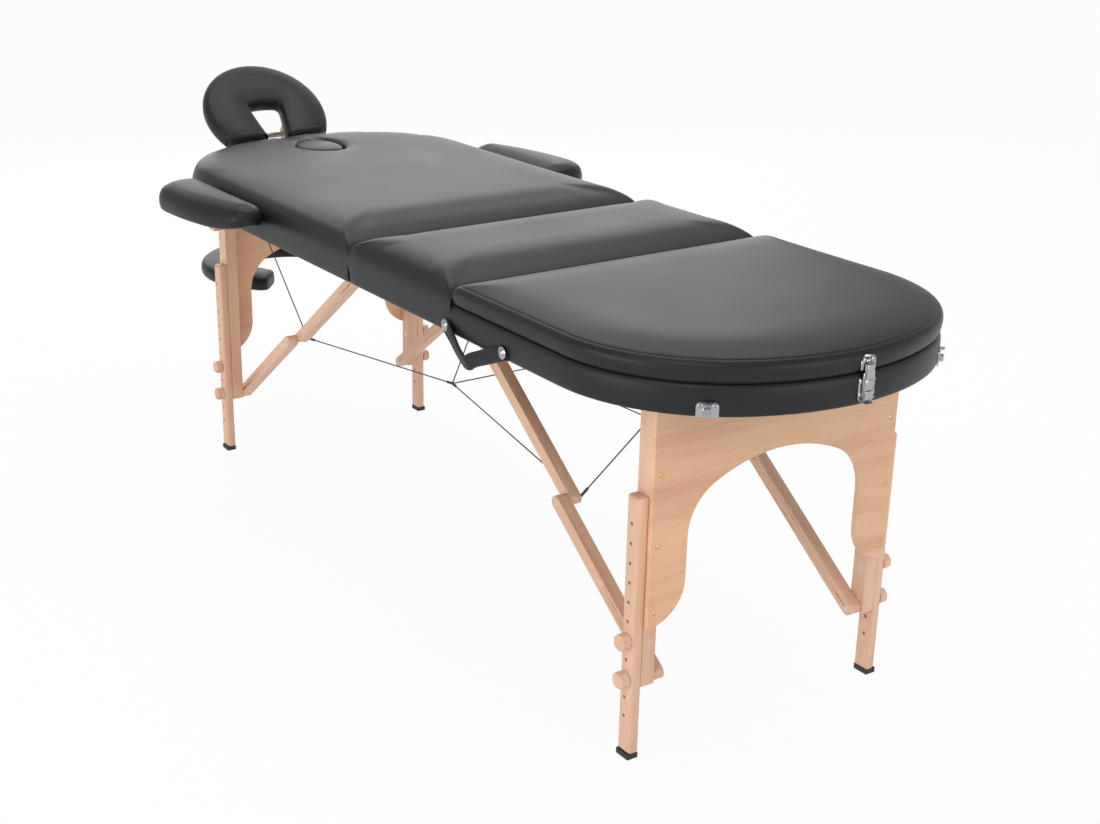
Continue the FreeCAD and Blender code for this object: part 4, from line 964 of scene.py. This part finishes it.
def armrest(side, sign):
    """Tapered armrest: straight at the table, wide round end, long curve to a narrow round end."""
    low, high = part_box(f"{side}_armrest_cushion")
    length = high.x - low.x
    wide_x = length / 2
    corner_x, corner_y = wide_x - ARM_ROUND, ARM_REACH - ARM_ROUND
    run = length - ARM_ROUND - ARM_TIP
    curve = (run ** 2 / (ARM_REACH - 2 * ARM_TIP) + ARM_REACH) / 2
    curve_y = ARM_REACH - curve
    tip_x = corner_x - run
    lean = math.degrees(math.atan2(ARM_TIP - curve_y, -run))
    near = min(abs(low.y), abs(high.y))
    top = high.z - low.z - ARM_CROWN
    along, across = ARM_STEPS

    def ring(inset, height):
        inner_x, hub, bend = wide_x - ARM_INNER, ARM_INNER - inset, ARM_ROUND - inset
        south = chain([(tip_x, inset)], arc(inner_x, ARM_INNER, hub, -90, -45, 5))
        east = chain(arc(inner_x, ARM_INNER, hub, -45, 0, 5), arc(corner_x, corner_y, bend, 0, 60, 10))
        north = chain(arc(corner_x, corner_y, bend, 60, 90, 6),
                      arc(corner_x, curve_y, curve - inset, 90, lean, 24)[1:])
        west = arc(tip_x, ARM_TIP, ARM_TIP - inset, lean, 270, 16)
        x, y = ring_of([south, east, north, west], along, across).T
        tail = np.clip(((wide_x - x) / length - ARM_RISE_FROM) / (1 - ARM_RISE_FROM), 0, 1)
        rise = ARM_RISE * tail ** 2 * max(0, 1 - height / top)
        return np.column_stack([(low.x + high.x) / 2 + sign * x, sign * (near + y), low.z + height + rise])

    section = [(0.012, 0), (0.003, 0.0006), (0.0002, 0.005), (-0.0022, 0.32 * top), (-0.0016, 0.55 * top),
               (0.0022, 0.76 * top), (0.0075, 0.89 * top), (0.0150, 0.97 * top),
               (0.0230, top + 0.4 * ARM_CROWN), (0.0305, top + 0.9 * ARM_CROWN)]
    rings = [ring(inset, height) for inset, height in section]
    pad = loft(f"{side}_armrest_pad", rings, ("low", "high"), along, across)
    upholstered(pad, below(pad, low.z + ARM_HELD), ARM_SWELL, 2)
    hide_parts(f"{side}_armrest_cushion")
    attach(pad, f"{side}_armrest")


PLUG_HELD, PLUG_SWELL, PLUG_STEPS = 0.012, 0.002, 12


def face_plug():
    """Oval plug of the face hole, crowned a little above the table."""
    low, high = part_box("face_plug")
    centre, halves = ((low + high) / 2).xy, ((high - low) / 2).xy
    foot, top = low.z, high.z
    along = across = PLUG_STEPS
    angles = np.radians(np.linspace(-135, 225, 2 * (along + across), endpoint=False))
    section = [(0.010, foot), (0.002, foot + 0.0005), (0.0004, foot + 0.004), (0.0002, top - 0.016),
               (0.0012, top - 0.009), (0.004, top - 0.005), (0.010, top - 0.0022), (0.020, top - 0.0006),
               (0.032, top)]
    rings = [lifted(oval(centre, np.array(halves) - inset, angles), height) for inset, height in section]
    pad = loft("face_hole_plug", rings, ("low", "high"), along, across)
    upholstered(pad, below(pad, top - PLUG_HELD), PLUG_SWELL, 2)
    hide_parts("face_plug")
    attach(pad, "hole_plug")


face_rest()
arm_shelf()
for side, sign in SIDES:
    armrest(side, sign)
face_plug()


# Straps and cables

STRAP_WIDTH, STRAP_THICKNESS = 0.025, 0.0022
ROD_Y, ROD_RADIUS, ROD_PLAY = 0.062, 0.006, 0.0006
# Start of a shelf strap at the pad: (inset from its outer side, height above its lower end)
STRAP_START = [(0.026, -0.001), (0.004, 0.002), (0.008, 0.016)]
STRAP_STEPS = 12
STRAP_SMOOTH = 60
# Loop of a shelf strap round its rod: first and last angle, and points
LOOP_FROM, LOOP_TO, LOOP_POINTS = -20, 300, 20


def shelf_straps():
    """Four straps from the pad up round the face-rest rods."""
    low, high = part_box("arm_shelf_straps")
    rod_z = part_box("face_rest_frame")[0].z + ROD_RADIUS
    loop = ROD_RADIUS + ROD_PLAY + STRAP_THICKNESS / 2
    raws = []
    for sign in (-1, 1):
        for x in (low.x + STRAP_WIDTH / 2, high.x - STRAP_WIDTH / 2):
            turn = [Vector((x, sign * (ROD_Y + loop * math.cos(a)), rod_z + loop * math.sin(a)))
                    for a in np.radians(np.linspace(LOOP_FROM, LOOP_TO, LOOP_POINTS))]
            path = [Vector((x, sign * (high.y - inset), low.z + rise)) for inset, rise in STRAP_START]
            web = [path[-1].lerp(turn[0], k / STRAP_STEPS) for k in range(1, STRAP_STEPS)]
            path += web + turn
            raws.append(ribbon(path, [Vector((1, 0, 0))] * len(path), STRAP_WIDTH, STRAP_THICKNESS))
    straps = piece("shelf_straps", raws, WEBBING, "arm_shelf", STRAP_SMOOTH)
    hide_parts("arm_shelf_straps")


STRAP_LEATHER, HANDLE_WIDTH, HANDLE_LEAN, HANDLE_POINTS = 0.0040, 0.027, 0.30, 56
# Fold of the handle strap from its first rivet and from its lower edge
HANDLE_FOLD_X, HANDLE_FOLD_Z = 0.078, 0.015
STITCH_INSET, STITCH_RADIUS, STITCH_RISE, STITCH_SHARE = 0.0035, 0.0006, 0.0004, 0.45
# Points of the strap left free of stitches at its ends, and points from stitch to stitch
STITCH_FREE, STITCH_EVERY = 4, 2
TAB_HALF, TAB_LOW, TAB_HIGH, TAB_NEAR, TAB_FAR, TAB_SOFT = 0.0125, 0.012, 0.014, 0.0022, 0.0040, 0.0007
RIVET_BACK = 0.0024
RIVET = [(0.0001, 0.0034), (0.0030, 0.0033), (0.0058, 0.0024), (0.0074, 0.0010), (0.0080, 0.0009),
         (0.0098, 0.0006), (0.0108, -0.0002), (0.0108, -0.0016)]


def stitch(here, after, across, edge):
    """One stitch on the outer face of the handle strap, near one of its edges."""
    ahead = after - here
    wide = (across - across.project(ahead)).normalized()
    out = ahead.cross(wide).normalized()
    out = out if out.y < 0 else -out
    spot = here + wide * edge * (HANDLE_WIDTH / 2 - STITCH_INSET) + out * (STRAP_LEATHER / 2)
    reach = ahead * STITCH_SHARE
    return tube([spot - reach, spot + out * STITCH_RISE, spot + reach], STITCH_RADIUS, 6)


def handle_line(first, last, y, pivot_z, fold_z):
    """Points and directions of the handle strap, which hangs in a fold from both rivets."""
    fold_x = first + HANDLE_FOLD_X
    route = [(first, y, pivot_z), (first + 0.024, y - 0.003, pivot_z - 0.014),
             (first + 0.052, y - 0.007, pivot_z - 0.031), (fold_x - 0.004, y - 0.009, fold_z + 0.003),
             (fold_x + 0.006, y - 0.009, fold_z + 0.002), (fold_x + 0.020, y - 0.008, fold_z + 0.011),
             (fold_x + 0.048, y - 0.005, pivot_z - 0.022), (last - 0.018, y - 0.002, pivot_z - 0.008),
             (last, y, pivot_z)]
    return headings(smooth_path(route, HANDLE_POINTS))


def carry_handle():
    """Stitched strap with its rivets and the tabs behind them."""
    low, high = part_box("handle_strap")
    rivet_low, rivet_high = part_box("handle_rivets")
    pivot_z = (rivet_low.z + rivet_high.z) / 2
    reach = (rivet_high.z - rivet_low.z) / 2
    first, last = rivet_low.x + reach, rivet_high.x - reach
    y = (low.y + high.y) / 2
    line = handle_line(first, last, y, pivot_z, low.z + HANDLE_FOLD_Z)
    path, across = [here for here, ahead in line], []
    for number, (here, ahead) in enumerate(line):
        lean = HANDLE_LEAN * math.sin(math.pi * number / (HANDLE_POINTS - 1))
        across.append(ahead.cross(Vector((0, 1, 0))).normalized() + Vector((0, -lean, 0)))
    band = ribbon(path, across, HANDLE_WIDTH, STRAP_LEATHER)
    seams = [stitch(path[k], path[k + 1], across[k], edge)
             for edge in (-1, 1) for k in range(STITCH_FREE, HANDLE_POINTS - STITCH_FREE, STITCH_EVERY)]
    strap = piece("carry_strap", [band], VINYL_DARK, None, STRAP_SMOOTH)
    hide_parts("handle_strap")
    stitches = piece("carry_strap_stitches", seams, THREAD, None, STRAP_SMOOTH)
    for thing in (strap, stitches):
        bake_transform(thing)
    tabs = [beveled((x - TAB_HALF, y + TAB_NEAR, pivot_z - TAB_LOW),
                    (x + TAB_HALF, y + TAB_FAR, pivot_z + TAB_HIGH), TAB_SOFT) for x in (first, last)]
    piece("strap_tabs", tabs, VINYL_DARK, "foot_half")
    heads = [turned(RIVET, (x, y - RIVET_BACK, pivot_z), (0, -1, 0), RIVET_SIDES) for x in (first, last)]
    rivets = piece("strap_rivets", heads, CHROME, "foot_half")
    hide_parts("handle_rivets")


# Cable points from the fold line: knee, rail end, junction under the fold, and the top of the hangers
CABLE_RADIUS = 0.0013
KNEE, RAIL_END = (0.52798, 0.1776, 0.34081), (0.7844, 0.190, 0.619)
JUNCTION, APEX = (-0.030, 0.097, 0.366), (-0.0075, 0.0052, 0.6146)
# Crimped sleeves: radius, and length at the end of a long cable, at the knee and at the junction
SLEEVE, END_SLEEVE, KNEE_SLEEVE, JUNCTION_SLEEVE = 2.1 * CABLE_RADIUS, 0.030, 0.026, 0.016
END_CABLE_STEPS = 12
# Height of the fold's axis, place beside it where a foot-side cable is parted, and the share of that cable
# between its knee and this place
FOLD_Z, FOLD_PART = 0.618, 0.002
FOLD_SHARE = (KNEE[0] - FOLD_PART) / (KNEE[0] - JUNCTION[0])


def cable_point(point, sign, mirror=1):
    return Vector((FOLD_X + mirror * point[0], sign * point[1], point[2]))


def cable(*path):
    return tube(path, CABLE_RADIUS)


def sleeved(start, stop, reach):
    """Crimped sleeve on a cable's end."""
    return tube([start, start + (stop - start).normalized() * reach], SLEEVE)


def end_cables(end, mirror):
    """Cables from the leg rail to the knees, riding on the leg frame."""
    raws = []
    for sign in (-1, 1):
        knee, rail = cable_point(KNEE, sign, mirror), cable_point(RAIL_END, sign, mirror)
        run = [rail + (knee - rail) * k / END_CABLE_STEPS for k in range(END_CABLE_STEPS + 1)]
        raws += [cable(*run), sleeved(knee, rail, END_SLEEVE)]
    thing = piece(f"{end}_end_cables", raws, CABLE, f"{end}_leg_frame", ALL_SMOOTH)
    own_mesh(thing)


def centre_cables(end, mirror):
    """Cables from the knees to the fold; the head's side has the hangers and the cross cable."""
    raws = []
    for sign in (-1, 1):
        knee, meet = cable_point(KNEE, sign, mirror), cable_point(JUNCTION, sign)
        far = cable_point(KNEE, sign)
        split = far + (meet - far) * FOLD_SHARE
        raws.append(sleeved(knee, meet, KNEE_SLEEVE))
        if end == "foot":
            raws.append(cable(knee, split))
            continue
        raws += [cable(knee, meet), cable(meet, split), cable(meet, cable_point(APEX, sign)),
                 sleeved(meet, knee, JUNCTION_SLEEVE), sleeved(meet, split, JUNCTION_SLEEVE)]
    if end == "head":
        raws.append(cable(cable_point(JUNCTION, -1), cable_point(JUNCTION, 1)))
    thing = piece(f"{end}_centre_cables", raws, CABLE, f"{end}_half", ALL_SMOOTH)
    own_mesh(thing)
    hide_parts(f"{end}_cables")


shelf_straps()
carry_handle()
for end, mirror in ENDS:
    end_cables(end, mirror)
    centre_cables(end, mirror)


# Legs and fastenings

HOLE_PITCH, HOLE_COUNT, HOLE_TOP, HOLE_RADIUS, HOLE_REACH = 0.034, 11, 0.417, 0.0033, 0.03
LEG_SOFT, LEG_ROUND = 0.0012, 0.007
# Screw and bolt heads, as profiles for turned
SCREW = [(0.0001, 0.0002), (0.0011, 0.0003), (0.0016, 0.0011), (0.0030, 0.0011), (0.0043, 0.0003),
         (0.0044, -0.0008)]
BOLT = [(0.0001, 0.0032), (0.0022, 0.0031), (0.0048, 0.0020), (0.0056, 0.0004), (0.0056, -0.0006),
        (0.0082, -0.0008), (0.0084, -0.0020)]
FLUSH = [(0.0001, 0.0001), (0.0017, 0.0001), (0.0020, 0.0003), (0.0050, 0.0003), (0.0055, 0.0001),
         (0.0055, -0.0012)]


def extension_leg(end, side, sign):
    """Extension leg with its row of holes and rounded outer edges."""
    node = f"{end}_{side}_leg"
    low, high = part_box(node)
    centre = (low + high) / 2
    outside = high.y if sign > 0 else low.y

    def outer_edge(co):
        return abs(co.y - outside) < TOUCH and co.x in (low.x, high.x)

    leg = outward(new_object(f"{node}_beech", *beveled(low, high, LEG_SOFT, 2, [(outer_edge, LEG_ROUND)])))
    bore = [(HOLE_RADIUS, -HOLE_REACH), (HOLE_RADIUS, HOLE_REACH)]
    drilled(leg, [turned(bore, (centre.x, centre.y, HOLE_TOP - HOLE_PITCH * k), (0, 1, 0))
                  for k in range(HOLE_COUNT)])
    leg.data.set_sharp_from_angle(angle=math.radians(SMOOTH_ANGLE))
    finish_with(leg, BEECH["z"])
    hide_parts(node)
    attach(leg, f"{end}_{side}_extension")


PANEL_SCREW_INSET, PANEL_SCREW_HEIGHTS = 0.013, (0.606, 0.498, 0.378, 0.262)
# Distance of a brace's bolts from its ends, height of the knee over its low end, and timber sizes
BRACE_EYE, KNEE_RISE, BRACE_DEPTH, POST_DEPTH = 0.012, 0.0075, 0.0232, 0.026
WASHER, POST_BOLT_Z = 0.0010, 0.211


def panel_screws(end, mirror):
    """Brass screws along both edges of a panel."""
    low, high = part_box(f"{end}_panel")
    face = low.x if mirror < 0 else high.x
    heads = [turned(SCREW, (face, sign * (high.y - PANEL_SCREW_INSET), z), (mirror, 0, 0), SCREW_SIDES)
             for sign in (-1, 1) for z in PANEL_SCREW_HEIGHTS]
    piece(f"{end}_panel_screws", heads, BRASS, f"{end}_leg_frame")


def both_sides(profile, x, y, z, outwards, count=BOLT_SIDES):
    """The same head at both sides of the table, looking outwards (1) or inwards (-1)."""
    return [turned(profile, (x, sign * y, z), (0, sign * outwards, 0), count) for sign in (-1, 1)]


def knee_bolts(end, mirror):
    """Bolts with washers at the knees and at the ends of the braces."""
    low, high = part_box(f"{end}_upper_braces")
    lower_low, lower_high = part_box(f"{end}_lower_braces")
    post_low, post_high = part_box(f"{end}_posts")
    knee_x = (low.x if mirror < 0 else high.x) - mirror * BRACE_EYE
    pivot_x = (high.x if mirror < 0 else low.x) + mirror * BRACE_EYE
    post_x = (post_low.x + post_high.x) / 2
    knee_z, inside = low.z + KNEE_RISE, high.y - BRACE_DEPTH
    knees = both_sides(FLUSH, knee_x, lower_high.y, knee_z, 1)
    pivots = (both_sides(BOLT, knee_x, inside - WASHER, knee_z, -1)
              + both_sides(SCREW, pivot_x, inside, high.z - BRACE_EYE, -1, SCREW_SIDES))
    pins = both_sides(FLUSH, post_x, lower_high.y - BRACE_DEPTH, lower_low.z + BRACE_EYE, -1)
    studs = both_sides(FLUSH, post_x, post_high.y - POST_DEPTH, POST_BOLT_Z, -1, SCREW_SIDES)
    piece(f"{end}_knee_bolts", knees, STEEL, f"{end}_lower_brace_pair")
    piece(f"{end}_brace_bolts", pivots, STEEL, f"{end}_upper_brace_pair")
    piece(f"{end}_foot_bolts", pins, STEEL, f"{end}_lower_brace_pair")
    piece(f"{end}_post_screws", studs, STEEL, f"{end}_leg_frame")


for end, mirror in ENDS:
    for side, sign in SIDES:
        extension_leg(end, side, sign)
for end, mirror in ENDS:
    panel_screws(end, mirror)
for end, mirror in ENDS:
    knee_bolts(end, mirror)


# Latch and keepers

PLATE_SOFT, PRESSED_SOFT = 0.0006, 0.0012
CATCH_HALF, CATCH_SHEET, CATCH_ROUND = 0.0150, 0.0020, 0.012
CATCH_SCREW_Y, CATCH_SCREW_DROP = 0.0085, 0.0095
HOOK_HALF, HOOK_BACK, HOOK_FRONT, HOOK_LOW, HOOK_HIGH = 0.0075, 0.0018, 0.0030, 0.0050, 0.0090
LATCH_HALF, LATCH_BACK, LATCH_ROUND, LATCH_TOP_ROUND = 0.0165, 0.0004, 0.012, 0.006
LATCH_SCREW_Y, LATCH_SCREW_RISE, LATCH_SCREW_DROP = 0.0128, 0.013, 0.008
LEVER_HALF, LEVER_ROUND, LEVER_DROP, LEVER_OVERLAP = 0.0088, 0.0070, 0.0015, 0.0125
LEVER_PIN, LEVER_PIN_REACH, LEVER_PIN_RISE = 0.0026, 0.0112, 0.0025
LEVER_BACK, LEVER_FRONT, LEVER_SOFT, FIELD_SINK = 0.0004, 0.0016, 0.0010, 0.0020
CHEEK_Y, CHEEK_HALF, CHEEK_BACK, CHEEK_FRONT = 0.0104, 0.0010, 0.0002, 0.0022
CHEEK_RISE, CHEEK_DROP, CHEEK_SOFT = 0.004, 0.016, 0.0005


def latch_screws(x, y, heights):
    return [turned(SCREW, (x, side * y, z), (1, 0, 0), SCREW_SIDES) for side in (-1, 1) for z in heights]


def latch_catch():
    """Plate and hook on the foot section."""
    low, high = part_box("latch_catch")
    face = low.x + CATCH_SHEET
    raws = [block((low.x, face), CATCH_HALF, (low.z, high.z), PLATE_SOFT, 2, [(high.z, CATCH_ROUND)]),
            block((low.x + HOOK_BACK, high.x - HOOK_FRONT), HOOK_HALF,
                  (low.z + HOOK_LOW, low.z + HOOK_HIGH), PRESSED_SOFT, 3)]
    raws += latch_screws(face, CATCH_SCREW_Y, [high.z - CATCH_SCREW_DROP])
    catch = piece("latch_hook", raws, CHROME, "foot_section")
    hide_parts("latch_catch")


def latch_base():
    """Plate on the rim that carries the lever."""
    low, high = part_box("latch_base")
    face = high.x - LATCH_BACK
    corners = [(low.z, LATCH_ROUND), (high.z, LATCH_TOP_ROUND)]
    raws = [block((low.x, face), LATCH_HALF, (low.z, high.z), PLATE_SOFT, 2, corners)]
    raws += latch_screws(face, LATCH_SCREW_Y, [low.z + LATCH_SCREW_RISE, high.z - LATCH_SCREW_DROP])
    mount = piece("latch_plate", raws, CHROME, "foot_half")
    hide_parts("latch_base")


def latch_lever():
    """Pressed lever with its pin and cheeks, which reaches over the catch."""
    low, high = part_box("latch_lever")
    back, face = low.x, high.x
    foot, top = low.z - LEVER_DROP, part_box("latch_catch")[0].z + LEVER_OVERLAP
    raws = [block((back + LEVER_BACK, face - LEVER_FRONT), LEVER_HALF, (foot, top), LEVER_SOFT, 3,
                  [(top, LEVER_ROUND)])]
    # Fields of the face: (rise, inset from the sides, lower end, upper end, soft edge, its segments)
    fields = [(0.0006, 0.0012, foot + 0.0010, foot + 0.0150, PRESSED_SOFT, 3),
              (-0.0008, 0.0026, foot + 0.0165, foot + 0.0320, PLATE_SOFT, 2),
              (0.0008, 0.0012, foot + 0.0335, top - 0.0030, PRESSED_SOFT, 3)]
    raws += [block((face - FIELD_SINK, face + rise), LEVER_HALF - inset, (start, stop), soft, segments)
             for rise, inset, start, stop, soft, segments in fields]
    pin = [(LEVER_PIN, -LEVER_PIN_REACH), (LEVER_PIN, LEVER_PIN_REACH)]
    raws.append(turned(pin, ((back + face) / 2, 0, low.z + LEVER_PIN_RISE), (0, 1, 0)))
    for y in (-CHEEK_Y, CHEEK_Y):
        raws.append(beveled((back + CHEEK_BACK, y - CHEEK_HALF, foot + CHEEK_RISE),
                            (face - CHEEK_FRONT, y + CHEEK_HALF, top - CHEEK_DROP), CHEEK_SOFT))
    lever = piece("latch_handle", raws, CHROME, "toggle_lever")
    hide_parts("latch_lever")


KEEPER_Y, KEEPER_HALF, KEEPER_BACK, KEEPER_FACE, KEEPER_ROUND = 0.238, 0.017, -0.0004, 0.0020, 0.010
KEEPER_STUD, KEEPER_STUD_RISE, KEEPER_SCREW_X, KEEPER_SCREW_DROP = 0.008, 0.002, 0.0112, 0.0085
# Stud of a keeper: (share of its radius, height)
KEEPER_PROFILE = [(1, 0.0015), (1, 0.0028), (0.8, 0.0034), (0.8, 0.0070), (0.7, 0.0084), (0.45, 0.0088),
                  (0.35, 0.0078), (0.0125, 0.0076)]


def keepers():
    """Keeper plates on the rounded corners of the rim, each with a stud and two screws."""
    low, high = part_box("keeper_plates")
    angle = math.asin((KEEPER_Y - CORNER_Y) / CORNER_RADIUS)
    out = Vector((math.cos(angle), math.sin(angle), 0))
    along = Vector((-math.sin(angle), math.cos(angle), 0))
    place = Matrix((along, out, (0, 0, 1))).transposed().to_4x4()
    place.translation = Vector((FOLD_X + CORNER_X, CORNER_Y, low.z)) + out * CORNER_RADIUS
    height = high.z - low.z
    stud = [(share * KEEPER_STUD, rise) for share, rise in KEEPER_PROFILE]
    corners = round_corners(0, KEEPER_HALF, [(height, KEEPER_ROUND)])
    plain = [beveled((-KEEPER_HALF, KEEPER_BACK, 0), (KEEPER_HALF, KEEPER_FACE, height),
                     PLATE_SOFT, 2, corners),
             turned(stud, (0, 0, KEEPER_STUD + KEEPER_STUD_RISE), (0, 1, 0), RIVET_SIDES)]
    plain += [turned(SCREW, (x, KEEPER_FACE, height - KEEPER_SCREW_DROP), (0, 1, 0), SCREW_SIDES)
              for x in (-KEEPER_SCREW_X, KEEPER_SCREW_X)]
    raws = []
    for side in (-1, 1):
        turn = Matrix.Diagonal((1, side, 1, 1)) @ place
        raws += [([turn @ p for p in points], faces) for points, faces in plain]
    plates = piece("keeper_hooks", raws, CHROME, "foot_half")
    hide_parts("keeper_plates")


HINGE_HALF, HINGE_DROP, HINGE_BEND, HINGE_POINTS = 0.0004, 0.004, 0.002, 40


def lid_hinge():
    """Vinyl hinge between the middle and the foot section, doubled over at its top."""
    low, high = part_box("lid_hinge_strip")
    middle = (low.x + high.x) / 2
    top = high.z - HINGE_DROP
    rise = [(HINGE_HALF, low.z), (HINGE_HALF, top - HINGE_BEND), (0.5 * HINGE_HALF, top)]
    rows = [(-dx, z) for dx, z in rise] + rise[::-1]
    rings = [[(middle + dx, y, z) for dx, z in rows] for y in np.linspace(low.y, high.y, HINGE_POINTS)]
    strip = piece("seam_hinge", [swept(rings)], VINYL_DARK, "foot_half", STRAP_SMOOTH)
    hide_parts("lid_hinge_strip")


latch_catch()
latch_base()
latch_lever()
keepers()
lid_hinge()


# Floor, light and camera

FLOOR_REACH, FLOOR_GREY, FLOOR_GLOW = 40, 0.86, 0.94
WORLD_LIGHT = 0.62
# Lamps: name, place, aim, size, power
LAMPS = [
    ("key", (2.4, -2.6, 3.4), (0.2, 0, 0.5), (2.0, 2.0), 40),
    ("top", (-0.6, 0.6, 3.6), (0, 0, 0.7), (3.0, 2.0), 45),
    ("rear", (-3.6, 1.8, 2.0), (0, 0, 0.7), (4.0, 3.0), 50),
    ("front", (4.0, 0.8, 1.0), (0.9, 0, 0.4), (1.8, 1.4), 22),
    ("side", (0.7, -4.2, 0.7), (0.3, 0, 0.4), (3.0, 1.2), 48)]
CAMERA_PLACE = (FOLD_X + 2.5603, -1.6768, 1.4277)
CAMERA_YAW, CAMERA_PITCH = 148.67, -20.32
CAMERA_SENSOR, CAMERA_LENS, CAMERA_SHIFT = 36, 51.79, 0.0898


def seen_directly(tree, other):
    """1 for camera rays and for one other kind of ray, else 0."""
    path = add(tree, "ShaderNodeLightPath")
    return maths(tree, "MAXIMUM", path.outputs["Is Camera Ray"], path.outputs[other])


def floor():
    corners = [(x * FLOOR_REACH, y * FLOOR_REACH, 0) for x, y in ((-1, -1), (1, -1), (1, 1), (-1, 1))]
    ground = new_object("floor", corners, [(0, 1, 2, 3)], False)
    made = bpy.data.materials.new("floor")
    made.use_nodes = True
    tree = made.node_tree
    tree.nodes.clear()
    share = maths(tree, "MULTIPLY", seen_directly(tree, "Is Glossy Ray"), FLOOR_GLOW)
    matt = add(tree, "ShaderNodeBsdfDiffuse", color=(FLOOR_GREY, FLOOR_GREY, FLOOR_GREY, 1))
    glow = add(tree, "ShaderNodeEmission", strength=1.0)
    mix = add(tree, "ShaderNodeMixShader", fac=share)
    tree.links.new(matt.outputs["BSDF"], mix.inputs[1])
    tree.links.new(glow.outputs["Emission"], mix.inputs[2])
    add(tree, "ShaderNodeOutputMaterial", surface=mix.outputs["Shader"])
    ground.data.materials.append(made)


def world_light():
    world = bpy.data.worlds.new("studio")
    bpy.context.scene.world = world
    world.use_nodes = True
    tree = world.node_tree
    strength = remap(tree, seen_directly(tree, "Is Transmission Ray"), WORLD_LIGHT, 1.0)
    fill(tree, tree.nodes["Background"], color=(1, 1, 1, 1), strength=strength)


def aimed(name, data, place, look):
    """New lamp or camera at a place, looking along a direction."""
    thing = bpy.data.objects.new(name, data)
    thing.location = place
    thing.rotation_euler = look.to_track_quat("-Z", "Y").to_euler()
    bpy.context.scene.collection.objects.link(thing)
    return thing


def lamp(name, place, aim, size, power):
    data = bpy.data.lights.new(name, "AREA")
    data.shape = "RECTANGLE"
    data.size, data.size_y = size
    data.energy = power
    aimed(name, data, place, Vector(aim) - Vector(place)).visible_camera = False


def camera():
    data = bpy.data.cameras.new("camera")
    data.sensor_width = CAMERA_SENSOR
    data.lens = CAMERA_LENS
    data.shift_x = CAMERA_SHIFT
    yaw, pitch = math.radians(CAMERA_YAW), math.radians(CAMERA_PITCH)
    look = Vector((math.cos(pitch) * math.cos(yaw), math.cos(pitch) * math.sin(yaw), math.sin(pitch)))
    bpy.context.scene.camera = aimed("camera", data, CAMERA_PLACE, look)


floor()
world_light()
for settings in LAMPS:
    lamp(*settings)
camera()
bpy.context.scene.view_settings.view_transform = "Standard"
